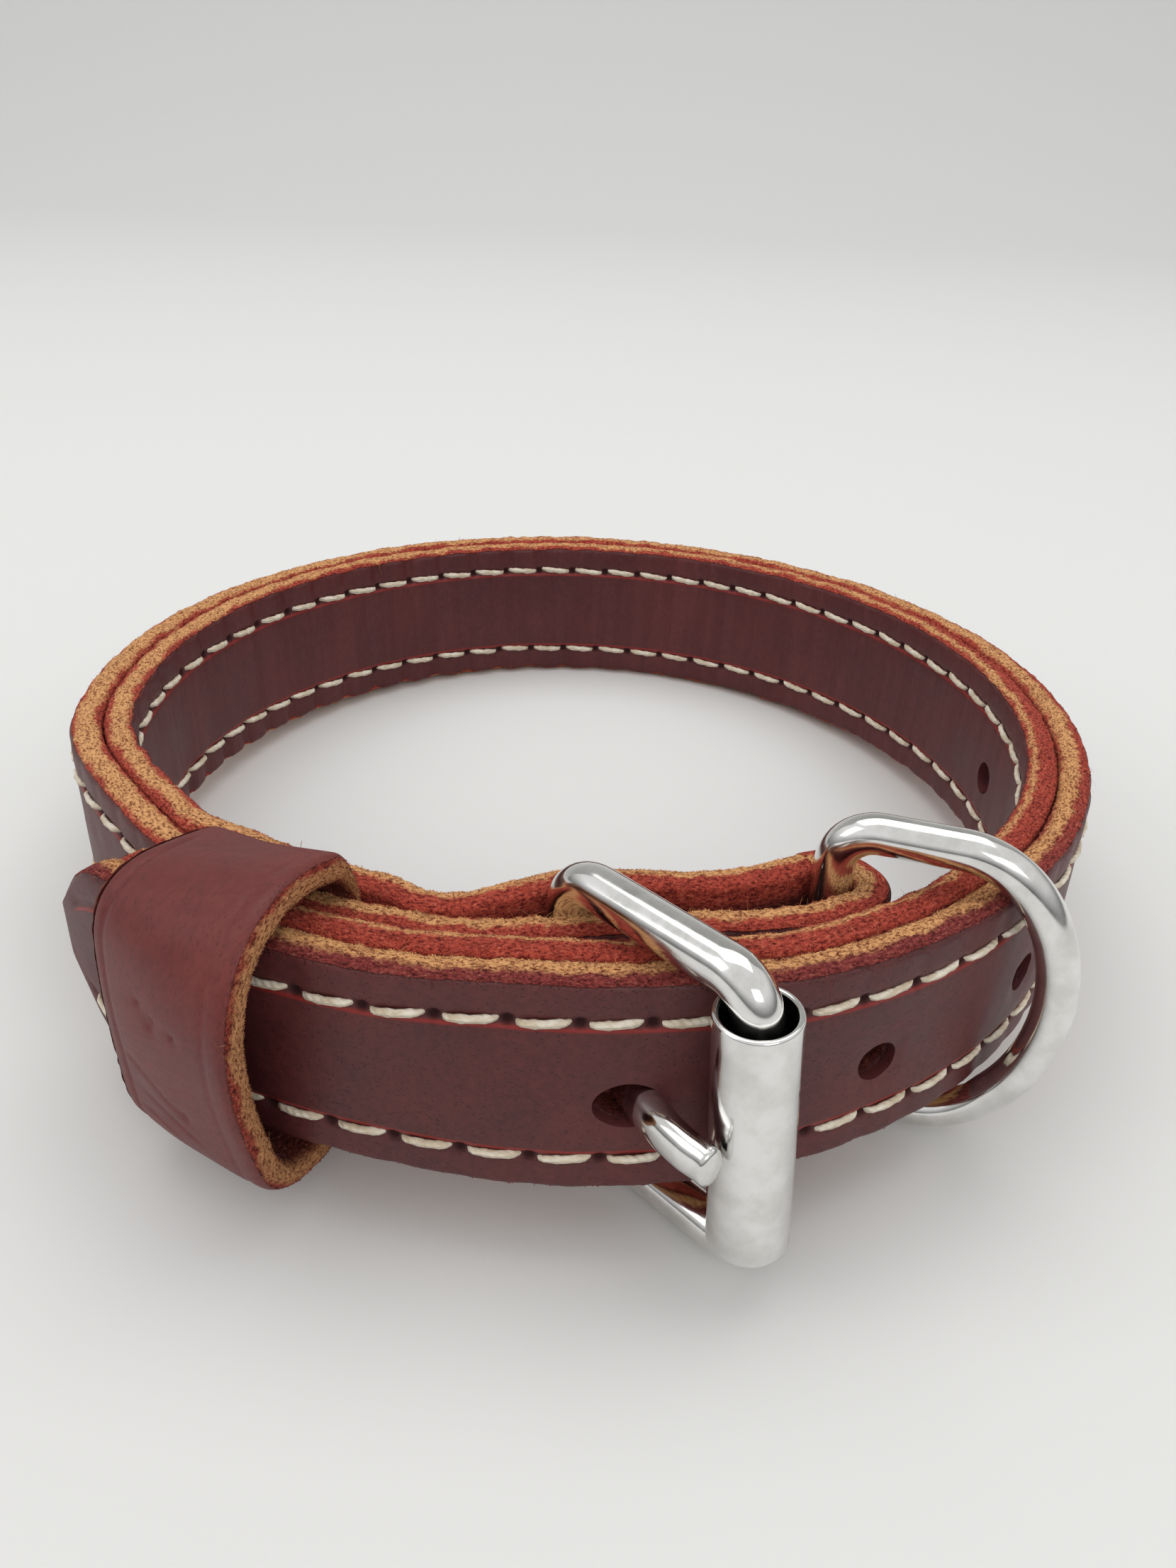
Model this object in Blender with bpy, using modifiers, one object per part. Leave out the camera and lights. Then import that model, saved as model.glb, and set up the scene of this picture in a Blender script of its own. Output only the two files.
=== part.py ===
"""Two-ply leather dog collar with a roller buckle, a D-ring and a leather keeper.

The strap is one long strip of leather, folded round the bar of the D-ring and sewn to itself,
so that it has an outer ply and an inner ply. Seen from above it starts at its tip at the front
left, passes the front, the right side, the back and the left side, and comes to the front again
inside its own first stretch, where the buckle and the D-ring are held between the two plies.

The collar is modelled standing on its edge. Angles run from the front (-Y), positive towards
the right (+X), so the front is 0, the right side 90, the back 180 and the left side 270.
"""
import math

import bmesh
import bpy
import numpy as np
from mathutils import Matrix, Vector

# Strap, in metres
LOOP_WIDTH = 0.1243          # inside the strap's oval, left to right
LOOP_DEPTH = 0.1283          # inside the strap's oval, front to back
STRAP_WIDTH = 0.0254
PLY = 0.0040                 # thickness of one ply
PLY_GAP = 0.0003             # between the two plies where they are sewn
LAP_GAP = 0.0004             # between the strap and its own first stretch
EDGE_BEVEL = 0.0006
TIP_ANGLE = -51.0            # where the strap's tip ends, in degrees
TIP_FLARE = 0.0043           # how far the tip stands off the oval
LAP_LEAD = 27.0              # degrees before the tip where the strap turns in behind it
TIP_TAPER = 0.0120           # length of the pointed end
TIP_BLUNT = 0.0060           # height left at the point
BUCKLE_END_DROP = 0.0010     # the end with the hardware hangs this much lower
TIP_END_RISE = 0.0004        # the end with the holes rides this much higher

# Holes
HOLE_DIAMETER = 0.0049
HOLE_SPACING = 0.0250
HOLE_COUNT = 5
HOLE_LOW = 0.0014            # how far they lie below the strap's middle
FIT = 0.0003                 # clearance between pieces that touch

# Buckle
WIRE = 0.0050                # diameter of the buckle's wire
BUCKLE_LENGTH = 0.0262       # from the heel bar to the bar in the roller
BUCKLE_WINDOW = 0.0302       # clear height between the two arms
BUCKLE_CORNER = 0.0050       # bend radius at the wire's centre, at the heel bar
ROLLER_CORNER = 0.0040       # the same at the bar in the roller
BUCKLE_TILT = 4.0            # degrees that the buckle leans along the strap
HEEL_ANGLE = 1.0             # where the heel bar lies between the plies
ROLLER_DIAMETER = 0.0086
ROLLER_PLAY = 0.0003         # between each end of the roller and the arm beside it
ROLLER_WALL = 0.0007
TONGUE_WIRE = 0.0044
TONGUE_TIP = 0.0036
EYE_WALL = 0.0019
EYE_WIDTH = 0.0054
SLOT_LENGTH = 0.0150

# D-ring
RING_WIRE = 0.0046
RING_HEIGHT = 0.0406         # outside
RING_REACH = 0.0304          # from the back of the bar to the front of the arc, outside
RING_BOW = 0.0129            # depth of its bowed part
RING_CORNER = 0.0045
RING_BAR_ANGLE = 31.0        # where its bar lies in the strap's fold
RING_SWING = 47.7            # degrees that it stands off the strap's direction
RING_RISE = 0.0014           # its middle above the strap's middle

# Keeper
KEEPER_PLY = 0.0033
KEEPER_END = 0.0015          # thinned where it is sewn in between the plies
KEEPER_ANGLES = (-38.3, -22.0)
KEEPER_SLACK = (0.0006, 0.0060)      # between the strap's face and the keeper, left and right
KEEPER_HEADROOM = (0.0005, 0.0031)   # between the strap's top edge and the keeper
KEEPER_FOOTROOM = (0.0006, 0.0013)   # between the strap's bottom edge and the keeper

# Share of a ply that the buckle end stands off the first stretch of the strap, by angle
STAND_OFF = ((-13.0, 0.0), (9.0, 0.55), (31.0, 0.05))

# Section of the keeper's inside. The first value runs from 0 at the fold's inside to 1 at the
# strap's face, and on to 2 where the slack ends. The second runs from 0 at the strap's bottom
# edge to 1 at its top edge, on to 2 where the headroom ends and down to -1 at the footroom.
KEEPER_SECTION = (
    (0.00, 0.04), (0.00, 0.35), (0.00, 0.68), (0.00, 1.00), (0.10, 1.50), (0.38, 1.88),
    (0.72, 2.00), (1.08, 1.80), (1.62, 1.08), (2.00, 0.74), (1.92, 0.46), (1.62, 0.20),
    (1.30, -0.10), (0.86, -0.80), (0.50, -1.00), (0.12, -0.75),
)

BODY_STEP = 5.0              # degrees between the strap's sections
HARDWARE_STEP = 2.0          # the same where it bends round the hardware
FOLD_SIDES = 12
ROUND_SIDES = 32
WIRE_RESOLUTION = 3

SEAM = (PLY + PLY_GAP) / 2
LAP = 2 * PLY + PLY_GAP + LAP_GAP


def smooth(value, low, high):
    """Smooth step from 0 at low to 1 at high."""
    t = np.clip((np.asarray(value, float) - low) / (high - low), 0.0, 1.0)
    return t * t * (3 - 2 * t)


def eased(angle, rows):
    """Value at an angle from rows of (angle, value), eased from each row to the next."""
    angle = np.asarray(angle, float)
    result = np.full(angle.shape, rows[0][1])
    for (low, before), (high, after) in zip(rows[:-1], rows[1:]):
        result = result + (after - before) * smooth(angle, low, high)
    return result


def oval(angle):
    """Radius of the seam between the plies on the plain oval."""
    across = LOOP_WIDTH / 2 + PLY + PLY_GAP / 2
    along = LOOP_DEPTH / 2 + PLY + PLY_GAP / 2
    a = np.radians(angle)
    return across * along / np.sqrt((along * np.sin(a)) ** 2 + (across * np.cos(a)) ** 2)


def flare(angle):
    return TIP_FLARE * (1 - smooth(angle, TIP_ANGLE - 4, -10.0))


def first_seam(angle):
    """Seam radius on the strap's first stretch, from the tip round to the back."""
    return oval(angle) + flare(angle)


def second_seam(angle):
    """Outer ply's seam radius on the way back to the front, inside the first stretch.

    The angle is counted from the front, so the left side is -90.
    """
    share = smooth(angle, TIP_ANGLE - LAP_LEAD, TIP_ANGLE + 1)
    stand_off = PLY * eased(angle, STAND_OFF)
    return oval(angle) + share * (flare(angle) - LAP) - stand_off


def opening(angle):
    """Gap between the plies on the second stretch, where hardware lies between them."""
    heel = WIRE + 2 * FIT
    ring = RING_WIRE + 2 * FIT
    keeper = KEEPER_END + 2 * FIT
    left, right = KEEPER_ANGLES
    rows = (
        (left - 10, PLY_GAP), (left, keeper), (right, keeper), (right + 7, PLY_GAP),
        (HEEL_ANGLE - 0.5, heel), (HEEL_ANGLE + 0.5, heel), (14.0, 0.75 * heel),
        (RING_BAR_ANGLE, ring),
    )
    return eased(angle, rows)


def outer_radius(angle):
    """Centre radius of the outer ply, from the tip all the way to the fold."""
    angle = np.asarray(angle, float)
    return np.where(angle < 180, first_seam(angle), second_seam(angle - 360)) + SEAM


def inner_radius(angle):
    """Centre radius of the inner ply over the same stretch."""
    angle = np.asarray(angle, float)
    second = outer_radius(angle) - PLY - opening(angle - 360)
    return np.where(angle < 180, first_seam(angle) - SEAM, second)


def plan(angle, radius):
    a = np.radians(angle)
    return np.stack([radius * np.sin(a), -radius * np.cos(a)], axis=-1)


def drop(angle):
    """How far the strap hangs below its own plane; the end with the holes rides higher."""
    rise = TIP_END_RISE * (1 - smooth(angle, 60.0, 150.0))
    return BUCKLE_END_DROP * smooth(angle, 240.0, 350.0) - rise


def tip_height(distance):
    """Height of the strap at a distance from its tip."""
    share = np.clip(distance / TIP_TAPER, 0.0, 1.0)
    return TIP_BLUNT + (STRAP_WIDTH - TIP_BLUNT) * np.sin(share * math.pi / 2)


def bar_place(angle, wire):
    """Centre of a bar that lies against the inside of the outer ply."""
    radius = outer_radius(angle + 360) - PLY / 2 - FIT - wire / 2
    return Vector((*plan(angle, radius), STRAP_WIDTH / 2 - float(drop(angle + 360))))


def link(name, mesh, material, parent, collection):
    obj = bpy.data.objects.new(name, mesh)
    collection.objects.link(obj)
    obj.data.materials.clear()
    obj.data.materials.append(material)
    obj.parent = parent
    return obj


def mesh_of(name, verts, faces):
    mesh = bpy.data.meshes.new(name)
    mesh.from_pydata([tuple(map(float, v)) for v in verts], [], faces)
    mesh.update()
    return mesh


def material(name, color, roughness, metallic):
    mat = bpy.data.materials.new(name)
    mat.use_nodes = True
    shader = mat.node_tree.nodes["Principled BSDF"]
    shader.inputs["Base Color"].default_value = (*color, 1.0)
    shader.inputs["Roughness"].default_value = roughness
    shader.inputs["Metallic"].default_value = metallic
    return mat


def empty(name, matrix, parent, collection):
    obj = bpy.data.objects.new(name, None)
    collection.objects.link(obj)
    obj.parent = parent
    obj.matrix_local = matrix
    return obj


def cut(obj, cutter, parent, collection, operation="DIFFERENCE"):
    """Keep a cutter as a hidden wire guide and cut the object with it."""
    cutter.parent = parent
    cutter.hide_render = True
    cutter.display_type = "WIRE"
    mod = obj.modifiers.new(cutter.name, "BOOLEAN")
    mod.operation = operation
    mod.solver = "EXACT"
    mod.object = cutter


def wire_mesh(name, points, radii, cyclic, resolution=WIRE_RESOLUTION):
    """Round wire along points, as a mesh with its caps welded."""
    curve = bpy.data.curves.new(name, "CURVE")
    curve.dimensions = "3D"
    curve.bevel_depth = 1.0
    curve.bevel_resolution = resolution
    curve.use_fill_caps = not cyclic
    spline = curve.splines.new("POLY")
    spline.points.add(len(points) - 1)
    for point, place, radius in zip(spline.points, points, radii):
        point.co = (*place, 1.0)
        point.radius = radius
    spline.use_cyclic_u = cyclic
    obj = bpy.data.objects.new(name, curve)
    bpy.context.scene.collection.objects.link(obj)
    graph = bpy.context.evaluated_depsgraph_get()
    mesh = bpy.data.meshes.new_from_object(obj.evaluated_get(graph))
    bpy.data.objects.remove(obj)
    shape = bmesh.new()
    shape.from_mesh(mesh)
    bmesh.ops.remove_doubles(shape, verts=shape.verts, dist=1e-6)
    bmesh.ops.recalc_face_normals(shape, faces=shape.faces)
    shape.to_mesh(mesh)
    shape.free()
    mesh.name = name
    return mesh


def cylinder(name, radius, length, matrix, collection, sides=ROUND_SIDES, squash=1.0):
    """Closed cylinder about the matrix's Z axis, narrowed along Y by squash."""
    shape = bmesh.new()
    bmesh.ops.create_cone(
        shape, cap_ends=True, segments=sides, radius1=radius, radius2=radius, depth=length)
    bmesh.ops.scale(shape, verts=shape.verts, vec=(1.0, squash, 1.0))
    mesh = bpy.data.meshes.new(name)
    shape.to_mesh(mesh)
    shape.free()
    obj = bpy.data.objects.new(name, mesh)
    collection.objects.link(obj)
    obj.matrix_local = matrix
    return obj


def axes(x, y, z, place):
    return Matrix.Translation(place) @ Matrix((x, y, z)).transposed().to_4x4()


def strap_path():
    """Plan points, drops and heights along the folded strip, from one tip to the other."""
    tip = np.degrees(TIP_TAPER / outer_radius(TIP_ANGLE)) + TIP_ANGLE
    near_tip = np.linspace(TIP_ANGLE, tip, 7)
    body = np.arange(tip + BODY_STEP, TIP_ANGLE - LAP_LEAD + 360, BODY_STEP)
    last = RING_BAR_ANGLE + 360
    hardware = np.linspace(body[-1], last, int((last - body[-1]) / HARDWARE_STEP) + 1)[1:]
    angles = np.concatenate([near_tip, body, hardware])
    turn = np.radians(RING_BAR_ANGLE)
    outward = np.array([math.sin(turn), -math.cos(turn)])
    onward = np.array([math.cos(turn), math.sin(turn)])
    bar = np.array(bar_place(RING_BAR_ANGLE, RING_WIRE)[:2])
    bend = (PLY + RING_WIRE) / 2 + FIT
    steps = np.linspace(0, math.pi, FOLD_SIDES + 1)[1:-1, None]
    fold = bar + bend * (np.cos(steps) * outward + np.sin(steps) * onward)
    outer = plan(angles, outer_radius(angles))
    inner = plan(angles, inner_radius(angles))[::-1]
    places = np.concatenate([outer, fold, inner])
    drops = np.concatenate([drop(angles), np.full(len(fold), drop(last)), drop(angles)[::-1]])
    distance = np.radians(angles - TIP_ANGLE) * outer_radius(angles)
    heights = tip_height(distance)
    heights = np.concatenate([heights, np.full(len(fold), STRAP_WIDTH), heights[::-1]])
    return places, drops, heights


def make_strap(leather, parent, parts):
    """Upright ribbon along the strip's path, thickened to one ply, with eased edges."""
    places, drops, heights = strap_path()
    middle = STRAP_WIDTH / 2 - drops
    low = np.column_stack([places, middle - heights / 2])
    high = np.column_stack([places, middle + heights / 2])
    count = len(places)
    faces = [(i, i + 1, count + i + 1, count + i) for i in range(count - 1)]
    obj = link("strap", mesh_of("strap", [*low, *high], faces), leather, parent, parts)
    wall = obj.modifiers.new("ply", "SOLIDIFY")
    wall.thickness = PLY
    wall.offset = 0.0
    wall.use_even_offset = True
    ease = obj.modifiers.new("edge", "BEVEL")
    ease.width = EDGE_BEVEL
    ease.segments = 1
    ease.limit_method = "ANGLE"
    ease.angle_limit = math.radians(50)
    return obj


def hole_angles():
    """Angles of the tongue holes, a hole spacing apart along the seam."""
    first = tongue_hole_angle()
    angles = [first]
    for _ in range(HOLE_COUNT - 1):
        angles.append(angles[-1] + math.degrees(HOLE_SPACING / float(first_seam(angles[-1]))))
    return angles


def heel():
    return bar_place(HEEL_ANGLE, WIRE)


def roller_place():
    """Centre of the roller: outside the strap and a buckle's length from the heel bar."""
    start = heel()
    low, high = HEEL_ANGLE, HEEL_ANGLE + 60.0
    for _ in range(50):
        angle = (low + high) / 2
        radius = float(first_seam(angle)) + SEAM + PLY / 2 + FIT + ROLLER_DIAMETER / 2
        place = Vector((*plan(angle, radius), start.z))
        if (place - start).length < BUCKLE_LENGTH:
            low = angle
        else:
            high = angle
    return place, angle


def buckle_matrix():
    """Buckle frame of axes: X from the heel to the roller, Z up, leaning along the strap."""
    start = heel()
    end, angle = roller_place()
    x = (end - start).normalized()
    z = Vector((0, 0, 1))
    square = axes(x, z.cross(x), z, start)
    radial = Vector((math.sin(math.radians(angle)), -math.cos(math.radians(angle)), 0))
    centre = (start + end) / 2
    lean = Matrix.Rotation(math.radians(BUCKLE_TILT), 4, radial)
    return Matrix.Translation(centre) @ lean @ Matrix.Translation(-centre) @ square


def tongue_path():
    """Centre line of the tongue in the buckle's axes: straight from the heel, then over
    the roller and along it."""
    over = -((ROLLER_DIAMETER + TONGUE_TIP) / 2 + FIT)
    rows = (
        (0.10, 0.13), (0.30, 0.385), (0.50, 0.64), (0.66, 0.845), (0.78, 0.965), (0.89, 1.01),
        (0.97, 1.0), (1.03, 1.0),
    )
    return np.array([(BUCKLE_LENGTH * along, over * side, 0.0) for along, side in rows])


def tongue_shank():
    """A point on the tongue's straight shank and its direction, in the buckle's axes."""
    path = tongue_path()
    direction = Vector(path[2] - path[0]).normalized()
    return Vector(path[0]), direction


def tongue_hole_angle():
    """Angle at which the tongue's shank leaves the strap's outer face."""
    start, direction = tongue_shank()
    matrix = buckle_matrix()
    origin = matrix @ start
    way = (matrix.to_3x3() @ direction).normalized()
    low, high = 0.0, 2 * BUCKLE_LENGTH
    for _ in range(50):
        reach = (low + high) / 2
        place = origin + way * reach
        angle = math.degrees(math.atan2(place.x, -place.y))
        if math.hypot(place.x, place.y) < float(first_seam(angle)) + SEAM:
            low = reach
        else:
            high = reach
    return angle


def cut_strap(strap, parent, cutters):
    """Tongue holes, the slot for the tongue's eye and the hollow that the eye lies in."""
    matrix = buckle_matrix()
    start, direction = tongue_shank()
    tall = Vector((0, 0, 1))
    reach = BUCKLE_LENGTH * 1.1
    shank = axes(tall.cross(direction), tall, direction, start + direction * (reach / 2 + PLY))
    bore = (TONGUE_WIRE / 2 + FIT) / math.cos(math.pi / ROUND_SIDES)
    cut(strap, cylinder("hole_1", bore, reach, matrix @ shank, cutters), parent, cutters)
    for index, angle in enumerate(hole_angles()[1:], start=2):
        turn = math.radians(angle)
        outward = Vector((math.sin(turn), -math.cos(turn), 0))
        onward = Vector((math.cos(turn), math.sin(turn), 0))
        height = STRAP_WIDTH / 2 - float(drop(angle)) - HOLE_LOW
        place = outward * float(first_seam(angle)) + tall * height
        punch = axes(onward, outward.cross(onward), outward, place)
        length = 2 * LAP
        cut(strap, cylinder(f"hole_{index}", HOLE_DIAMETER / 2, length, punch, cutters),
            parent, cutters)
    eye = WIRE / 2 + FIT + EYE_WALL + FIT
    hollow = cylinder("eye_hollow", eye, EYE_WIDTH + 2 * FIT, matrix, cutters)
    cut(strap, hollow, parent, cutters)
    slot_depth = PLY + 3 * FIT + (WIRE + PLY) / 2
    turn = math.radians(HEEL_ANGLE)
    outward = Vector((math.sin(turn), -math.cos(turn), 0))
    onward = Vector((math.cos(turn), math.sin(turn), 0))
    ahead = SLOT_LENGTH / 2 - eye
    place = heel() + outward * slot_depth / 2 + onward * ahead
    shape = bmesh.new()
    bmesh.ops.create_cube(shape, size=1.0)
    bmesh.ops.scale(shape, verts=shape.verts,
                    vec=(SLOT_LENGTH, EYE_WIDTH + 2 * FIT, slot_depth))
    mesh = bpy.data.meshes.new("slot")
    shape.to_mesh(mesh)
    shape.free()
    slot = bpy.data.objects.new("slot", mesh)
    cutters.objects.link(slot)
    slot.matrix_local = axes(onward, outward.cross(onward), outward, place)
    cut(strap, slot, parent, cutters)


def arc(centre, radius, start, end, steps, depth=None):
    """Points of an arc in the XZ plane; depth makes it an ellipse along X."""
    along = radius if depth is None else depth
    angles = np.radians(np.linspace(start, end, steps))
    return [(centre[0] + along * math.cos(a), 0.0, centre[1] + radius * math.sin(a))
            for a in angles]


def make_buckle_frame(steel, parent, parts):
    """Closed rounded rectangle of round wire: heel bar, two arms and the roller's bar."""
    half = (BUCKLE_WINDOW + WIRE) / 2
    heel_bend = BUCKLE_CORNER
    bend = ROLLER_CORNER
    end = BUCKLE_LENGTH
    points = []
    points += arc((end - bend, half - bend), bend, 0, 90, 7)
    points += arc((heel_bend, half - heel_bend), heel_bend, 90, 180, 7)
    points += arc((heel_bend, heel_bend - half), heel_bend, 180, 270, 7)
    points += arc((end - bend, bend - half), bend, 270, 360, 7)
    mesh = wire_mesh("buckle_frame", points, [WIRE / 2] * len(points), True)
    return link("buckle_frame", mesh, steel, parent, parts)


def turned(name, profile, material_used, parent, parts):
    """Closed profile of (radius, height) turned round Z."""
    verts = [(r, 0.0, z) for r, z in profile]
    mesh = bpy.data.meshes.new(name)
    edges = [(i, (i + 1) % len(verts)) for i in range(len(verts))]
    mesh.from_pydata(verts, edges, [])
    obj = link(name, mesh, material_used, parent, parts)
    screw = obj.modifiers.new("turn", "SCREW")
    screw.steps = ROUND_SIDES
    screw.render_steps = ROUND_SIDES
    screw.use_merge_vertices = True
    screw.merge_threshold = 1e-6
    screw.use_smooth_shade = False
    return obj


def make_roller(steel, parent, parts):
    half = BUCKLE_WINDOW / 2 - ROLLER_PLAY
    outside = ROLLER_DIAMETER / 2
    inside = outside - ROLLER_WALL
    ease = ROLLER_WALL / 3
    profile = (
        (outside, half - ease), (outside, ease - half), (outside - ease, -half),
        (inside, -half), (inside, half), (outside - ease, half),
    )
    obj = turned("roller", profile, steel, parent, parts)
    obj.location = (BUCKLE_LENGTH, 0, 0)
    return obj


def make_tongue(steel, parent, parts, cutters):
    """Flattened eye round the heel bar, a straight shank and a blunt tip on the roller."""
    inside = WIRE / 2 + FIT
    outside = inside + EYE_WALL
    half = EYE_WIDTH / 2
    profile = ((outside, half), (outside, -half), (inside, -half), (inside, half))
    obj = turned("tongue", profile, steel, parent, parts)
    path = tongue_path()
    start, direction = tongue_shank()
    path[0] = start + direction * (inside + 0.6 * EYE_WALL - start.length)
    shares = np.linspace(0, 1, len(path)) ** 2
    radii = TONGUE_WIRE / 2 + (TONGUE_TIP - TONGUE_WIRE) / 2 * shares
    shank = bpy.data.objects.new("shank", wire_mesh("shank", path, radii, False))
    cutters.objects.link(shank)
    cut(obj, shank, parent, cutters, "UNION")
    return obj


def make_ring(steel, parent, parts):
    """D of round wire: straight bar, two shoulders and a bow, with its bar on Z."""
    half = (RING_HEIGHT - RING_WIRE) / 2
    reach = RING_REACH - RING_WIRE
    corner = RING_CORNER
    points = arc((reach - RING_BOW, 0), half, -90, 90, 21, RING_BOW)
    points += arc((corner, half - corner), corner, 90, 180, 7)
    points += arc((corner, corner - half), corner, 180, 270, 7)
    mesh = wire_mesh("d_ring", points, [RING_WIRE / 2] * len(points), True)
    return link("d_ring", mesh, steel, parent, parts)


def closed_curve(points, steps):
    """Smooth closed curve through points, with the same number of steps in each span."""
    points = np.asarray(points, float)
    before = np.roll(points, 1, axis=0)
    after = np.roll(points, -1, axis=0)
    later = np.roll(points, -2, axis=0)
    result = []
    for t in np.arange(steps) / steps:
        result.append(0.5 * (2 * points + (after - before) * t
                             + (2 * before - 5 * points + 4 * after - later) * t ** 2
                             + (3 * points - before - 3 * after + later) * t ** 3))
    return np.stack(result, axis=1).reshape(-1, 2)


def keeper_rings(angle, share):
    """Inside and outside outline of the keeper at one angle, as (radius, height)."""
    neck_side = float(outer_radius(angle + 360)) - PLY / 2 - FIT
    slack = KEEPER_SLACK[0] + (KEEPER_SLACK[1] - KEEPER_SLACK[0]) * share
    head = KEEPER_HEADROOM[0] + (KEEPER_HEADROOM[1] - KEEPER_HEADROOM[0]) * share
    foot = KEEPER_FOOTROOM[0] + (KEEPER_FOOTROOM[1] - KEEPER_FOOTROOM[0]) * share
    face = float(first_seam(angle)) + SEAM + PLY / 2
    low = -float(drop(angle + 360))
    high = STRAP_WIDTH - float(drop(angle))
    shares = closed_curve(KEEPER_SECTION, 3)
    inner = np.column_stack([
        np.interp(shares[:, 0], (0, 1, 2), (neck_side, face, face + slack)),
        np.interp(shares[:, 1], (-1, 0, 1, 2), (low - foot, low, high, high + head)),
    ])
    way = np.roll(inner, -1, axis=0) - np.roll(inner, 1, axis=0)
    way /= np.linalg.norm(way, axis=1)[:, None]
    normal = np.column_stack([-way[:, 1], way[:, 0]])
    thick = KEEPER_END + (KEEPER_PLY - KEEPER_END) * smooth(shares[:, 0], 0.0, 0.2)
    return inner, inner + normal * thick[:, None]


def make_keeper(leather, parent, parts):
    """Leather loop round the strap's two stretches, its thin ends between the plies."""
    rows = 7
    verts = []
    for share in np.linspace(0, 1, rows):
        angle = KEEPER_ANGLES[0] + (KEEPER_ANGLES[1] - KEEPER_ANGLES[0]) * share
        for ring in keeper_rings(angle, share):
            verts += [(*plan(angle, r), z) for r, z in ring]
    count = len(verts) // (2 * rows)
    faces = []
    for row in range(rows - 1):
        for side in (0, 1):
            base = (2 * row + side) * count
            above = base + 2 * count
            for i in range(count):
                j = (i + 1) % count
                face = (base + i, base + j, above + j, above + i)
                faces.append(face if side else face[::-1])
    for base, flip in ((0, True), (2 * (rows - 1) * count, False)):
        for i in range(count):
            j = (i + 1) % count
            face = (base + i, base + j, base + count + j, base + count + i)
            faces.append(face if flip else face[::-1])
    mesh = mesh_of("keeper", verts, faces)
    shape = bmesh.new()
    shape.from_mesh(mesh)
    bmesh.ops.recalc_face_normals(shape, faces=shape.faces)
    shape.to_mesh(mesh)
    shape.free()
    obj = link("keeper", mesh, leather, parent, parts)
    ease = obj.modifiers.new("edge", "BEVEL")
    ease.width = EDGE_BEVEL
    ease.segments = 1
    ease.limit_method = "ANGLE"
    ease.angle_limit = math.radians(50)
    return obj


def world_points(parts):
    """Points of every part as built, for standing the collar on its support."""
    bpy.context.view_layer.update()
    graph = bpy.context.evaluated_depsgraph_get()
    clouds = []
    for obj in parts.objects:
        if obj.type != "MESH":
            continue
        found = obj.evaluated_get(graph)
        mesh = found.to_mesh()
        cloud = np.empty(len(mesh.vertices) * 3)
        mesh.vertices.foreach_get("co", cloud)
        matrix = np.array(found.matrix_world)
        clouds.append(cloud.reshape(-1, 3) @ matrix[:3, :3].T + matrix[:3, 3])
        found.to_mesh_clear()
    return np.concatenate(clouds)


def stand(root, parts):
    """Tilt the collar until the buckle and the back edge rest on one level, then centre it."""
    points = world_points(parts)
    front = points[points[:, 1] < 0]
    back = points[points[:, 1] > 0]
    low, high = 0.0, math.radians(15)
    for _ in range(40):
        tilt = (low + high) / 2
        c, s = math.cos(tilt), math.sin(tilt)
        if (front[:, 1] * -s + front[:, 2] * c).min() < (back[:, 1] * -s + back[:, 2] * c).min():
            low = tilt
        else:
            high = tilt
    turned_points = points @ np.array(Matrix.Rotation(-tilt, 3, "X")).T
    least, most = turned_points.min(axis=0), turned_points.max(axis=0)
    shift = Vector((-(least[0] + most[0]) / 2, -(least[1] + most[1]) / 2, -least[2]))
    root.matrix_world = Matrix.Translation(shift) @ Matrix.Rotation(-tilt, 4, "X")


def main():
    for obj in list(bpy.data.objects):
        bpy.data.objects.remove(obj)
    scene = bpy.context.scene.collection
    parts = bpy.data.collections.new("dog_collar")
    cutters = bpy.data.collections.new("cutters")
    scene.children.link(parts)
    scene.children.link(cutters)
    leather = material("burgundy_leather", (0.082, 0.035, 0.036), 0.5, 0.0)
    keeper_leather = material("keeper_leather", (0.115, 0.040, 0.038), 0.5, 0.0)
    steel = material("polished_steel", (0.62, 0.61, 0.59), 0.15, 1.0)
    root = empty("collar", Matrix(), None, parts)
    strap = make_strap(leather, root, parts)
    buckle = empty("buckle", buckle_matrix(), root, parts)
    cut_strap(strap, root, cutters)
    make_buckle_frame(steel, buckle, parts)
    make_roller(steel, buckle, parts)
    make_tongue(steel, buckle, parts, cutters)
    turn = math.radians(RING_BAR_ANGLE - RING_SWING)
    place = bar_place(RING_BAR_ANGLE, RING_WIRE)
    place.z += RING_RISE
    swing = Matrix.Translation(place) @ Matrix.Rotation(turn, 4, "Z")
    ring = empty("ring_bar", swing, root, parts)
    make_ring(steel, ring, parts)
    make_keeper(keeper_leather, root, parts)
    stand(root, parts)


main()
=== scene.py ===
# %% [markdown]
# # A two-ply leather dog collar
#
# The imported model is the fixed frame of this lesson. It gives every solid its place in metres, and
# the pieces made here lie exactly where those solids lie, with the finish that they lack.

# %% Load the frame
import math

import bpy
import numpy as np
from mathutils import Matrix


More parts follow.
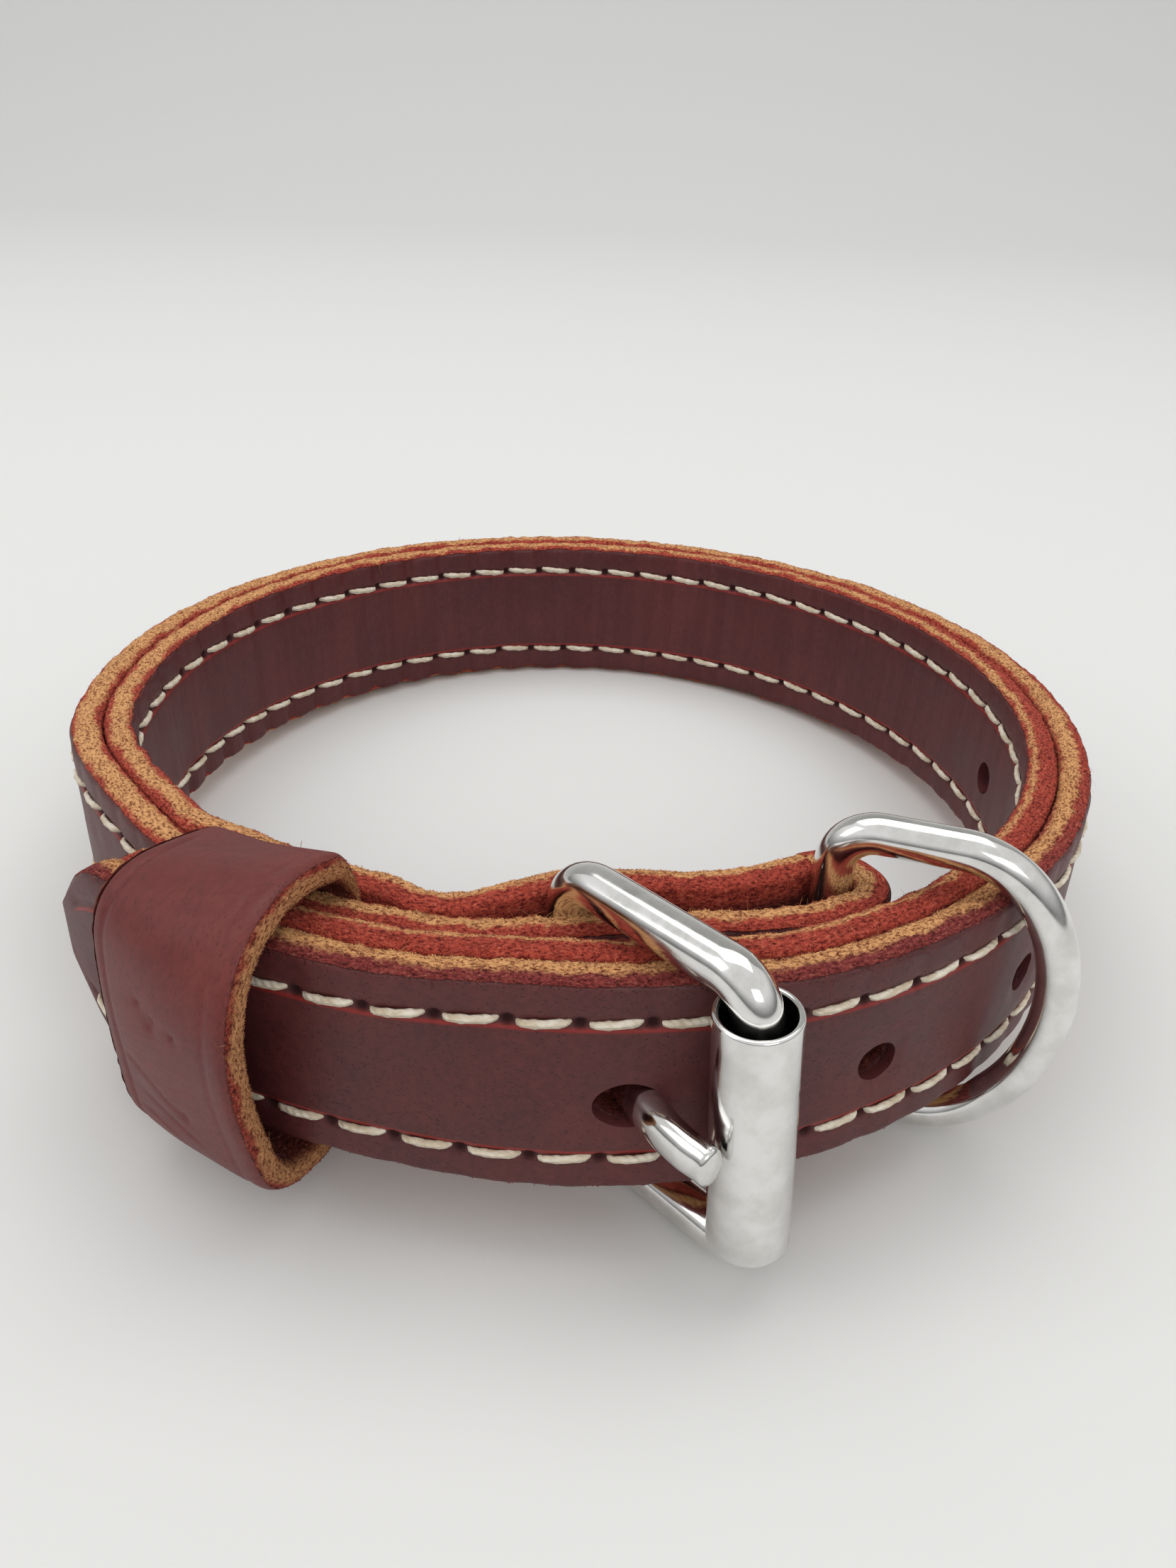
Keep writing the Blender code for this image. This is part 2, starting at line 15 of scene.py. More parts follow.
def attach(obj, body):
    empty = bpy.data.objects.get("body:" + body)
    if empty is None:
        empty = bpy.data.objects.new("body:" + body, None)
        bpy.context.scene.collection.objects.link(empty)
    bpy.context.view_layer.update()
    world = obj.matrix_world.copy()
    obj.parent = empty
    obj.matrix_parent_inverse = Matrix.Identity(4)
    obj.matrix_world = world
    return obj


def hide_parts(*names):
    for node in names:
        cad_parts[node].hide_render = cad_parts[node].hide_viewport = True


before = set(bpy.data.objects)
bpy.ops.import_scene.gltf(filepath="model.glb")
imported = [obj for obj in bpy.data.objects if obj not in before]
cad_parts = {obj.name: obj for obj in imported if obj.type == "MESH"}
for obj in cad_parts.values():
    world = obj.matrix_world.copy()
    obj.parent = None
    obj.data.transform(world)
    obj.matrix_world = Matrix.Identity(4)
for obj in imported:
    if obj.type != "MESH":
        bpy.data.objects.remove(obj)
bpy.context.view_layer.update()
print("solids:", sorted(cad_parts))

# %% [markdown]
# ## Where the collar stands
#
# The collar is drawn in its own plane, with its lower edge at height zero. The buckle reaches below
# the strap, so the real collar stands on the buckle and on the back of its lower edge, and its
# front is raised by a few degrees. One rotation about X and one shift carry every point from the
# collar's plane to the place where it stands. Baking it into the vertices keeps each object at the
# origin.

# %% From the collar's plane to the floor
MM = 0.001
STAND_TILT = math.radians(3.7347)
STAND_SHIFT = np.array([0.0, 2.968, 4.678]) * MM


def stood(points):
    """Turns points about X by the tilt, front side up, and lifts them until the collar stands."""
    x, y, z = np.moveaxis(np.asarray(points, float), -1, 0)
    c, s = math.cos(STAND_TILT), math.sin(STAND_TILT)
    turned = np.stack([x, c * y + s * z, c * z - s * y], axis=-1)
    return turned + STAND_SHIFT


print("a point of the front's lower edge stands at", stood([0.0, -0.07, 0.0]).round(4))

# %% [markdown]
# ## Curves in plain numbers
#
# Leather has no sharp kinks, so every change of shape is eased. A smooth step runs from 0 to 1 with
# level ends, and a row of eased steps gives a value that changes along the strap. A value noise
# gives the slow unevenness of hide: random numbers at the corners of a grid, blended smoothly in
# between. Its seed is fixed, so that every run gives the same hide.

# %% Easing and noise
def smooth(value, low, high):
    """t * t * (3 - 2 t), where t runs from 0 at low to 1 at high."""
    t = np.clip((np.asarray(value, float) - low) / (high - low), 0.0, 1.0)
    return t * t * (3 - 2 * t)


def eased(angle, rows):
    """The first value plus every later change, each one eased between its two angles."""
    angle = np.asarray(angle, float)
    result = np.full(angle.shape, float(rows[0][1]))
    for (low, before), (high, after) in zip(rows[:-1], rows[1:]):
        result = result + (after - before) * smooth(angle, low, high)
    return result


def unit(vectors):
    """Vectors divided by their lengths."""
    return vectors / np.linalg.norm(vectors, axis=-1, keepdims=True)


def hide_noise(points, size, seed):
    """Value noise from -1 to 1: random grid corners a size apart, blended by smooth steps."""
    cell = np.asarray(points, float) / size + 1000.0
    base = np.floor(cell).astype(np.int64)
    t = cell - base
    t = t * t * (3 - 2 * t)
    total = np.zeros(cell.shape[:-1])
    for corner in range(8):
        offset = np.array([corner & 1, corner >> 1 & 1, corner >> 2 & 1])
        key = (base + offset) @ np.array([73856093, 19349663, 83492791]) + seed * 2654435761
        key = (key ^ key >> 13) * 1274126177 & 0xFFFFFFFF
        value = (key ^ key >> 16) & 0xFFFF
        weight = np.prod(np.where(offset == 1, t, 1 - t), axis=-1)
        total += weight * value
    return total / 32767.5 - 1.0


spots = np.random.default_rng(1).uniform(0, 0.1, (2000, 3))
print("noise from", hide_noise(spots, 0.004, 1).min().round(2), "to",
      hide_noise(spots, 0.004, 1).max().round(2))

# %% [markdown]
# ## The strap's course
#
# Two plies of burgundy leather are cut from one long strip. The strip starts at the pointed tip,
# runs once round the neck, passes behind its own first stretch to the buckle, folds round the bar
# of the D-ring, and comes back the whole way as the inner ply. Drawing it as radii over the angle
# from the front keeps the course in a few named lengths, the same ones as the solids have.

# %% Radii of the two plies
STRAP_WIDTH = 25.4 * MM
PLY = 4.0 * MM
PLY_GAP = 0.3 * MM
SEAM = (PLY + PLY_GAP) / 2
LAP = 2 * PLY + PLY_GAP + 0.4 * MM
FIT = 0.3 * MM
TIP_ANGLE = -51.0
BAR_ANGLE = 31.0
WIRE = 5.0 * MM
RING_WIRE = 4.6 * MM
KEEPER_END = 1.5 * MM
KEEPER_ANGLES = (-38.3, -22.0)
STAND_OFF = ((-13.0, 0.0), (9.0, 0.55), (31.0, 0.05))


def oval(angle):
    """Radius of an ellipse whose half axes reach to the seam between the plies."""
    across, along = 66.3 * MM, 68.3 * MM
    a = np.radians(angle)
    return across * along / np.sqrt((along * np.sin(a)) ** 2 + (across * np.cos(a)) ** 2)


def flare(angle):
    """How far the tip's stretch stands off the oval: all of it at the tip, none past -10."""
    return 4.3 * MM * (1 - smooth(angle, TIP_ANGLE - 4, -10.0))


def first_seam(angle):
    """The seam on the first stretch, the oval and the flare together."""
    return oval(angle) + flare(angle)


def second_seam(angle):
    """The seam on the way back to the buckle, one lap inside the first stretch."""
    share = smooth(angle, TIP_ANGLE - 27.0, TIP_ANGLE + 1)
    return oval(angle) + share * (flare(angle) - LAP) - PLY * eased(angle, STAND_OFF)


def opening(angle):
    """Gap between the plies: closed where they are sewn, a wire wide where they hold one."""
    heel, ring, keeper = WIRE + 2 * FIT, RING_WIRE + 2 * FIT, KEEPER_END + 2 * FIT
    left, right = KEEPER_ANGLES
    return eased(angle, (
        (left - 10, PLY_GAP), (left, keeper), (right, keeper), (right + 7, PLY_GAP),
        (0.5, heel), (1.5, heel), (14.0, 0.75 * heel), (BAR_ANGLE, ring)))


def outer_radius(angle):
    """Middle of the outer ply over both stretches, the second one counted on past 360."""
    angle = np.asarray(angle, float)
    return np.where(angle < 180, first_seam(angle), second_seam(angle - 360)) + SEAM


def inner_radius(angle):
    """Middle of the inner ply: one ply and the gap inside the outer one."""
    angle = np.asarray(angle, float)
    second = outer_radius(angle) - PLY - opening(angle - 360)
    return np.where(angle < 180, first_seam(angle) - SEAM, second)


def drop(angle):
    """The buckle end hangs 1 mm lower than the collar's plane and the tip's end 0.4 mm higher."""
    return MM * smooth(angle, 240.0, 350.0) - 0.4 * MM * (1 - smooth(angle, 60.0, 150.0))


def plan(angle, radius):
    """A place seen from above: the angle counts from the front towards the right."""
    a = np.radians(angle)
    return np.stack([radius * np.sin(a), -radius * np.cos(a)], axis=-1)


print("outer ply at the front:", (outer_radius(0.0) / MM).round(2), "mm from the middle")

# %% [markdown]
# ## Walking along the strip
#
# A strap is a section carried along a course. The course needs evenly spaced stations, and at each
# one the directions along the strip and out of its grain side. Arc length by cumulative sum and
# interpolation gives the even spacing, without any search. Along the whole strip the grain side is
# on the right hand, which puts it outside on the outer ply and against the neck on the inner one.

# %% Stations
def measured(path):
    """Length walked along a path of points, from zero at its first point."""
    return np.concatenate([[0.0], np.cumsum(np.linalg.norm(np.diff(path, axis=0), axis=1))])


def followed(at, walk, columns):
    """Every column of a table, read off at given lengths of a walk."""
    return np.stack([np.interp(at, walk, column) for column in np.transpose(columns)], axis=-1)


def evenly(path, count, joined=True, width=3):
    """The same path with evenly spaced points, measured in its first columns."""
    closed = np.concatenate([path, path[:1]]) if joined else path
    walk = measured(closed[:, :width])
    return followed(np.linspace(0, walk[-1], count + joined)[:count], walk, closed)


def round_turns(count):
    """Evenly spaced angles once round a circle, in radians."""
    return np.linspace(0, 2 * math.pi, count, endpoint=False)


fine = np.linspace(TIP_ANGLE, BAR_ANGLE + 360, 4000)
outward = np.array([math.sin(math.radians(BAR_ANGLE)), -math.cos(math.radians(BAR_ANGLE))])
onward = np.array([-outward[1], outward[0]])
bar = plan(BAR_ANGLE, outer_radius(BAR_ANGLE + 360) - PLY / 2 - FIT - RING_WIRE / 2)
bend = (PLY + RING_WIRE) / 2 + FIT
turns = np.linspace(0, math.pi, 200)[1:-1, None]
fold = bar + bend * (np.cos(turns) * outward + np.sin(turns) * onward)
course = {
    "outer": (np.concatenate([plan(fine, outer_radius(fine)), fold]),
              np.concatenate([fine, np.full(len(fold), BAR_ANGLE + 360)])),
    "inner": (np.concatenate([fold[-1:], plan(fine, inner_radius(fine))[::-1]]),
              np.concatenate([[BAR_ANGLE + 360], fine[::-1]])),
}


def stations(ply, count):
    """Evenly spaced walk, angle, place, grain direction and middle height along one ply."""
    path, angles = course[ply]
    walk = measured(path)
    even = np.linspace(0, walk[-1], count)
    place = followed(even, walk, path)
    angle = np.interp(even, walk, angles)
    way = unit(np.gradient(place, axis=0))
    grain = np.stack([way[:, 1], -way[:, 0]], axis=-1)
    return even, angle, place, grain, STRAP_WIDTH / 2 - drop(angle)


for ply in course:
    print(ply, "ply:", measured(course[ply][0])[-1].round(4), "m long")

# %% [markdown]
# ## A skin over a grid
#
# Nearly every piece here is a closed skin: a ring of points carried along rows. One helper turns
# such a grid into a mesh. Rows follow each other, the points of a ring close on themselves, and the
# two ends are either joined to each other or closed with a cap of triangles round a middle point.
# Named values per point travel with the mesh, so that a material can read where on the unbent strap
# it is.

# %% Grid to mesh
def linked(name, data):
    """A new object of the scene, at the origin."""
    obj = bpy.data.objects.new(name, data)
    bpy.context.scene.collection.objects.link(obj)
    return obj


def write(mesh, key, data):
    """Named values into a mesh, one number or one triple per point."""
    kind, field = ("FLOAT_VECTOR", "vector") if data.ndim > 1 and data.shape[-1] == 3 else ("FLOAT", "value")
    layer = mesh.attributes.get(key) or mesh.attributes.new(key, kind, "POINT")
    layer.data.foreach_set(field, np.asarray(data, np.float32).ravel())


def smooth_mesh(name, verts, faces):
    """A smooth mesh from points and faces."""
    mesh = bpy.data.meshes.new(name)
    mesh.from_pydata(verts, [], faces)
    mesh.polygons.foreach_set("use_smooth", np.ones(len(mesh.polygons), bool))
    return mesh


def piece_from(name, verts, faces, values=None, body="root"):
    """Mesh object at the origin from points and faces, riding on its body.

    What would sink below the table, z < 0, is pressed flat on it.
    """
    spots = np.array(verts, float).reshape(-1, 3)
    spots[:, 2] = np.maximum(spots[:, 2], 0.0)
    mesh = smooth_mesh(name, spots, faces)
    for key, data in (values or {}).items():
        write(mesh, key, data)
    mesh.update()
    obj = linked(name, mesh)
    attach(obj, body)
    return obj


def skin_faces(rows, around, joined=False, flip=False):
    """Quads between neighbouring rows and points, and a fan over each end that isn't joined."""
    i = np.arange(rows if joined else rows - 1)[:, None]
    j = np.arange(around)[None, :]
    k, m = (i + 1) % rows, (j + 1) % around
    quads = np.stack([i * around + j, k * around + j, k * around + m, i * around + m], axis=-1)
    quads = quads.reshape(-1, 4)
    faces = quads[:, ::-1].tolist() if flip else quads.tolist()
    if not joined:
        j, m = j[0], m[0]
        first = np.stack([j, m, np.full(around, rows * around)], axis=-1)
        last = (rows - 1) * around
        final = np.stack([last + m, last + j, np.full(around, rows * around + 1)], axis=-1)
        caps = np.concatenate([first, final])
        faces += caps[:, ::-1].tolist() if flip else caps.tolist()
    return faces


def skin(name, grid, values=None, joined=False, body="root"):
    """Closed skin over a grid of rows by points, capped round the middle of its end rings."""
    grid = np.asarray(grid, float)
    rows, around = grid.shape[:2]
    verts = grid.reshape(-1, 3)
    kept = {key: np.asarray(v, float).reshape(rows * around, *v.shape[2:])
            for key, v in (values or {}).items()}
    if not joined:
        verts = np.concatenate([verts, grid[:1].mean(axis=1), grid[-1:].mean(axis=1)])
        kept = {key: np.concatenate([v, v[:around].mean(axis=0)[None],
                                     v[-around:].mean(axis=0)[None]]) for key, v in kept.items()}
    return piece_from(name, verts, skin_faces(rows, around, joined), kept, body)


# %% [markdown]
# ## The section of one ply
#
# A ply is cut from a side of hide: smooth grain on one face, suede on the other, and raw edges that
# the maker has rounded a little. The seam pulls the face in along two rows, so the section carries
# two shallow channels. Its points crowd where the shape turns and lie far apart where it is flat,
# which keeps the mesh small enough.

# %% Section points
ROW_SHARE = 0.64             # where the seams lie, as a share of the half width
FACE_SHARES = (0.0, 0.14, 0.28, 0.4, 0.49, 0.55, 0.585, 0.612, 0.64, 0.668, 0.695, 0.73, 0.79, 0.86)
EDGE_TURN = 1.15 * MM        # rounding towards the grain side
FLESH_TURN = 0.75 * MM       # and towards the suede side


def half_section():
    """Rows of (side, share, turn, kind) from the middle of the grain face over the top edge."""
    rows = [(1.0, s, 0.0, 1.0) for s in FACE_SHARES]
    for t in np.linspace(0, 90, 7)[:-1]:
        rows.append((1.0, 1.0, t, 1.0 - smooth(t, 15, 75)))
    for s in (0.45, 0.15, -0.15, -0.45):
        rows.append((s, 1.0, 90.0, 0.0))
    for t in np.linspace(90, 0, 5):
        rows.append((-1.0, 1.0, t, 0.0))
    rows += [(-1.0, 0.7, 0.0, 0.0), (-1.0, 0.35, 0.0, 0.0), (-1.0, 0.0, 0.0, 0.0)]
    return np.array(rows)


def section(half_height, half_ply):
    """Through-the-ply and height offsets of the section, for arrays of half sizes.

    A turn of t degrees moves a point in by the turn's radius times (1 - cos t) through the ply,
    and times (1 - sin t) below the edge.
    """
    side, share, turn, _ = half_section().T
    t = np.radians(turn)
    radius = np.where(side > 0, EDGE_TURN, FLESH_TURN)
    corner = (share == 1.0) & (np.abs(side) == 1.0)
    through = np.where(corner, side * (PLY / 2 - radius * (1 - np.cos(t))), side * PLY / 2)
    flat = (share == 1.0) & ~corner
    reach = (PLY - EDGE_TURN - FLESH_TURN) / 2
    middle = (FLESH_TURN - EDGE_TURN) / 2
    through = np.where(flat, middle + reach * side / 0.75, through)
    below = np.where(corner, radius * (1 - np.sin(t)), 0.0) - np.where(flat, 0.12 * MM, 0.0)
    up = half_height[:, None] * share - below
    through = through * (half_ply[:, None] / (PLY / 2))
    mirrored = np.concatenate([through, through[:, -2:0:-1]], axis=1)
    return mirrored, np.concatenate([up, -up[:, -2:0:-1]], axis=1)


kinds = half_section()[:, 3]
kinds = np.concatenate([kinds, kinds[-2:0:-1]])
print(len(kinds), "points round the section")

# %% [markdown]
# ## Where the stitches and the holes lie
#
# Both seams were sewn by hand along a line pricked beforehand, so their stitches are nearly even. A
# few of them have a known number and length from the tip, and the others are spaced evenly between
# those. The tongue holes are one hole spacing apart, and the one in use has stretched to an oval.

# %% Seams and holes on the unbent strap
STITCH_MARKS = {
    ("outer", 1): ((-3, 13.0), (0, 33.86), (6, 76.06), (8, 90.83), (11, 110.62), (63, 456.4)),
    ("outer", -1): ((-4, 8.8), (0, 36.57), (5, 71.41), (8, 93.33), (12, 119.79), (63, 459.0)),
    ("inner", 1): ((-23, 13.5), (0, 166.44), (15, 264.78), (24, 324.85), (29, 362.33), (43, 455.0)),
    ("inner", -1): ((-23, 12.8), (0, 165.74), (15, 266.14), (24, 326.72), (31, 370.08), (45, 463.0)),
}
HOLE_RADIUS = 2.45 * MM
HOLE_SPACING = 25.0 * MM
HOLE_LOW = 1.4 * MM
FIRST_HOLE = 6.48
STRETCHED = (3.7 * MM, 2.65 * MM)


def stitch_number(ply, side, along):
    """Number of the stitch at a length from the tip, whole at its middle, between marks in line."""
    marks = np.array(STITCH_MARKS[ply, side])
    return np.interp(along, marks[:, 1] * MM, marks[:, 0])


def stitch_middles(ply, side):
    """Length from the tip to the middle of every stitch of a row."""
    marks = np.array(STITCH_MARKS[ply, side])
    return np.interp(np.arange(marks[0, 0], marks[-1, 0] + 1), marks[:, 0], marks[:, 1] * MM)


def hole_angles():
    """Angles of the free holes, a hole spacing apart along the seam from the tongue's hole."""
    angles = [FIRST_HOLE]
    for _ in range(4):
        angles.append(angles[-1] + math.degrees(HOLE_SPACING / float(first_seam(angles[-1]))))
    return np.array(angles[1:])


def tip_half_height(walk):
    """Half the strap's width, drawn in over the last 12 mm along a quarter of a sine."""
    share = np.clip(walk / (12.0 * MM), 0.0, 1.0)
    return (6.0 * MM + (STRAP_WIDTH - 6.0 * MM) * np.sin(share * math.pi / 2)) / 2


def end_round(walk, radius):
    """How much a rounded end draws the section in: a quarter circle over its radius."""
    t = np.clip(1 - walk / radius, 0.0, 1.0)
    return radius * (1 - np.sqrt(1 - t * t))


print("stitches in each row:", [len(stitch_middles(*row)) for row in STITCH_MARKS])

# %% [markdown]
# ## Relief: channels, needle holes and a raw edge
#
# The thread is pulled tight, so each stitch end sinks into a small pit, and where the strap bends
# sharply the pits run out to the edge as creases. The raw edge is never straight: the knife and
# years of wear leave it wavy by a quarter of a millimetre. These are small moves of the points
# along the grain direction and in height, worked out from the place on the unbent strap.

# %% Relief of a ply
def seam_place(ply, along, height, half_height, sewn):
    """Distance to the nearest needle hole along the row, distance above the row, and sewn or not."""
    upper = stitch_number(ply, 1, along)
    lower = stitch_number(ply, -1, along)
    number = np.where(height > 0, upper, lower)
    to_hole = np.abs(number - np.floor(number) - 0.5) * 6.7 * MM
    row = np.abs(height) - ROW_SHARE * half_height
    return np.stack([to_hole, row, np.broadcast_to(sewn, row.shape)], axis=-1)


def hole_dish(ply, along, height):
    """1 at the rim of a tongue hole, falling off over a millimetre around it."""
    walk = measured(course[ply][0])
    angles = course[ply][1]
    if ply == "inner":
        walk, angles = (walk[-1] - walk)[::-1], angles[::-1]
    total = np.zeros(along.shape)
    for angle in [FIRST_HOLE - 1.0, *hole_angles()]:
        across, up = STRETCHED if angle < 10 else (HOLE_RADIUS, HOLE_RADIUS)
        x = (along - np.interp(angle, angles, walk)) / across
        z = (height + HOLE_LOW) / up
        away = np.clip(np.hypot(x, z) - 1.0, 0.0, None) * HOLE_RADIUS
        total += np.exp(-(away / (0.75 * MM)) ** 2)
    return total


def inward_lean(ply, angle, height_share):
    """How far the upper part leans in at the front, where the buckle pulls on the top edges."""
    first = angle < 180
    most = np.where(first, 1.5, 1.05 if ply == "outer" else 0.8) * MM
    a = np.where(first, angle, angle - 360)
    near = smooth(a, -17, -3) * (1 - smooth(a, 8, 21))
    return (most * near)[:, None] * smooth(height_share, -0.3, 0.8)


DYE = {
    "outer": (((-50, -0.30), (-30, -0.42), (60, -0.42), (130, -0.05), (300, -0.05), (340, -0.45)),
              ((-50, 0.0), (60, 0.02), (110, -0.06), (200, 0.02), (250, -0.22), (320, -0.1), (350, 0.0))),
    "inner": (((-50, 0.45), (70, 0.45), (150, 0.0), (300, -0.05), (340, 0.5)),
              ((-50, 0.30), (70, 0.34), (110, 0.22), (200, 0.10), (250, -0.08), (320, 0.0), (350, 0.08))),
}


def dye(ply, angle):
    """Where the tan core lies through the ply, and how far the red dye has crept in."""
    core, crept = DYE[ply]
    return eased(angle, core), eased(angle, crept)


def make_ply(ply, count):
    """Carries the section along one ply and adds its relief.

    A point moves out of the grain by swell - sink where the face is, and the raw edge moves in
    height by ragged. Both are sums of bells and noises of the place on the unbent strap.
    """
    walk, angle, place, grain, middle = stations(ply, count)
    total = walk[-1]
    from_tip = walk if ply == "outer" else total - walk
    draw = end_round(from_tip, 1.1 * MM)
    half = tip_half_height(from_tip) - draw
    through, up = section(half, PLY / 2 - draw)
    along = np.broadcast_to(from_tip[:, None], up.shape)
    lie = np.stack([along, through, up], axis=-1)
    wide = np.broadcast_to(half[:, None], up.shape)
    sewn = smooth(from_tip, 4.0 * MM, 6.0 * MM) * (1 - smooth(from_tip, 0.462, 0.466))
    seam = seam_place(ply, along, up, wide, sewn[:, None])
    hole, row = seam[..., 0], seam[..., 1]
    own = lie + (0.3 if ply == "inner" else 0.0)
    face = kinds[None, :]
    # the seam's channel, its needle pits and the creases from the pits to the edge
    sink = 0.30 * MM * np.exp(-(row / (0.66 * MM)) ** 2)
    sink = sink + 0.60 * MM * np.exp(-(row ** 2 + hole ** 2) / (0.52 * MM) ** 2)
    crimp = smooth(angle, 150, 215) * (1 - smooth(angle, 285, 310)) if ply == "inner" else 0 * angle
    crimp = 0.16 + 0.6 * crimp[:, None]
    crease = crimp * np.exp(-(hole / (1.3 * MM)) ** 2) * smooth(row, -1.0 * MM, 2.6 * MM)
    sink = (sink + crease * MM) * seam[..., 2]
    dish = hole_dish(ply, along, up)
    sink = sink + (0.30 * MM * dish if ply == "outer" else 0.0)
    swell = 0.12 * MM * hide_noise(own, 9 * MM, 3) + 0.05 * MM * hide_noise(own, 2.6 * MM, 4)
    if ply == "inner":
        swell = swell + 0.10 * MM * hide_noise(own * [1, 1, 0.12], 2.2 * MM, 9)
    out = through + face * (swell - sink)
    # raw edge: wavy, crowned and ragged
    rim = (1 - face) * smooth(np.abs(up), wide * 0.9, wide * 0.97)
    ragged = 0.17 * MM * hide_noise(own * [1, 2, 1], 1.3 * MM, 5)
    ragged += 0.12 * MM * hide_noise(own * [1, 2, 1], 0.6 * MM, 6)
    ragged += 0.14 * MM * hide_noise(own * [1, 0, 0], 5 * MM, 7)
    ragged -= 0.8 * crease * MM * smooth(through, 0.0, PLY / 2)
    high = up + np.sign(up) * rim * ragged
    out = out + rim * 0.12 * MM * hide_noise(own + 0.1, 0.8 * MM, 8)
    inward = -1.0 if ply == "outer" else 1.0
    out = out + inward * inward_lean(ply, angle, up / wide)
    spot = place[:, None, :] + grain[:, None, :] * out[..., None]
    grid = np.concatenate([spot, (middle[:, None] + high)[..., None]], axis=-1)
    core, crept = dye(ply, angle)
    dull = (1 - smooth(angle, 35, 80)) * (ply == "outer")
    tint = np.stack(np.broadcast_arrays(core[:, None], crept[:, None], dull[:, None] + 0 * up), axis=-1)
    mask = np.clip(np.broadcast_to(face, up.shape) - 0.55 * crease * smooth(row, 2 * MM, 3.4 * MM), 0, 1)
    values = {"lie": lie, "grain": mask, "seam": seam, "dish": dish, "dye": tint, "own": np.ones(up.shape)}
    obj = skin(ply + "_ply", stood(grid), values)
    print(obj.name, len(obj.data.polygons), "faces")
    return obj, grid, lie, tint


outer_ply, outer_grid, outer_lie, outer_dye = make_ply("outer", 1240)
inner_ply, inner_grid, inner_lie, inner_dye = make_ply("inner", 1150)
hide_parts("strap")
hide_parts("strap")

# %% [markdown]
# ## Where the buckle and the ring lie
#
# The buckle has its own axes: X from the heel bar to the roller, Z along the bars. The ring has its
# bar on Z. Both are written as plain matrices, in the place where the solids have them, and a
# helper carries points from those axes to the world.

# %% Axes of the hardware
BUCKLE_AXES = np.array([(0.679725, -0.728956, 0.081219), (0.730341, 0.682878, 0.016705),
                        (-0.06764, 0.047963, 0.996556)])
BUCKLE_ORIGIN = np.array([0.000982, -0.051579, 0.019523])
RING_AXES = np.array([(0.957823, -0.28675, 0.018718), (0.287361, 0.955788, -0.062391),
                      (0.0, 0.065138, 0.997876)])
RING_ORIGIN = np.array([0.029049, -0.044422, 0.0209])
BUCKLE_LENGTH = 26.2 * MM
ROLLER_RADIUS = 4.3 * MM
TONGUE_WIRE = 4.4 * MM
TONGUE_TIP = 3.6 * MM


def in_buckle(points):
    """Points given in the buckle's axes, in the world."""
    return np.asarray(points, float) @ BUCKLE_AXES + BUCKLE_ORIGIN


def in_ring(points):
    """Points given in the ring's axes, in the world."""
    return np.asarray(points, float) @ RING_AXES + RING_ORIGIN


print("roller stands at", in_buckle([BUCKLE_LENGTH, 0, 0]).round(4))

# %% [markdown]
# ## Holes
#
# The tongue holes are punched through both plies with a round punch, one hole spacing apart. A
# Boolean with the punches as one cutter cuts the real thing, and is applied at once, so that the
# finished ply is one mesh. The tongue's own hole runs slanted, along the shank that fills it.

# %% Punches
def rod(start, direction, tall, radius, length, around=48, squash=1.0):
    """Grid of a straight round rod: a circle at each end, carried along a direction."""
    direction = unit(direction)
    side = unit(np.cross(direction, tall))
    over = np.cross(side, direction)
    a = round_turns(around)
    ring = radius * (np.cos(a)[:, None] * side * squash + np.sin(a)[:, None] * over)
    return np.stack([start + ring, start + ring + direction * length])


def hole_axis(angle):
    """Middle of a hole on the seam and its outward direction, in the collar's plane."""
    middle = np.array([*plan(angle, first_seam(angle)), STRAP_WIDTH / 2 - drop(angle) - HOLE_LOW])
    return middle, np.array([*plan(angle, 1.0), 0.0])


def turned_way(direction):
    """A direction of the collar's plane, as it points once the collar stands."""
    return stood(direction) - stood(np.zeros(3))


UP = turned_way(np.array([0.0, 0.0, 1.0]))
punches = []
for angle in hole_angles():
    middle, out = hole_axis(angle)
    punches.append(rod(stood(middle - out * LAP), turned_way(out), UP, HOLE_RADIUS, 2 * LAP))
shank_start = np.array([0.1 * BUCKLE_LENGTH, -0.13 * (ROLLER_RADIUS + TONGUE_TIP / 2 + FIT), 0.0])
shank_end = np.array([0.5 * BUCKLE_LENGTH, -0.64 * (ROLLER_RADIUS + TONGUE_TIP / 2 + FIT), 0.0])
shank_way = unit(shank_end - shank_start)
punches.append(rod(in_buckle(shank_start + shank_way * PLY), shank_way @ BUCKLE_AXES,
                   BUCKLE_AXES[2], TONGUE_WIRE / 2 + FIT, 6.5 * MM))
middle, out = hole_axis(FIRST_HOLE - 1.0)
punches.append(rod(stood(middle - out * 0.3 * MM), turned_way(out), UP, STRETCHED[1], LAP, 64,
                   STRETCHED[0] / STRETCHED[1]))
eye = WIRE / 2 + 2 * FIT + 1.9 * MM
punches.append(rod(in_buckle([0, 0, -3.0 * MM]), BUCKLE_AXES[2], BUCKLE_AXES[0], eye, 6.0 * MM))


def cutter_from(grids):
    """One mesh with all the punches, each a closed rod."""
    verts, faces = [], []
    for grid in grids:
        rows, around = grid.shape[:2]
        base = len(verts)
        verts += [*grid.reshape(-1, 3), grid[0].mean(axis=0), grid[-1].mean(axis=0)]
        faces += [[base + v for v in face] for face in skin_faces(rows, around)]
    mesh = bpy.data.meshes.new("punches")
    mesh.from_pydata(verts, [], faces)
    return linked("punches", mesh)


def read_values(mesh, key):
    """A mesh's named values as an array, one row per point."""
    layer = mesh.attributes[key]
    wide = 3 if layer.data_type == "FLOAT_VECTOR" else 1
    data = np.empty(len(mesh.vertices) * wide, np.float32)
    layer.data.foreach_get("vector" if wide == 3 else "value", data)
    return data.reshape(-1, wide)


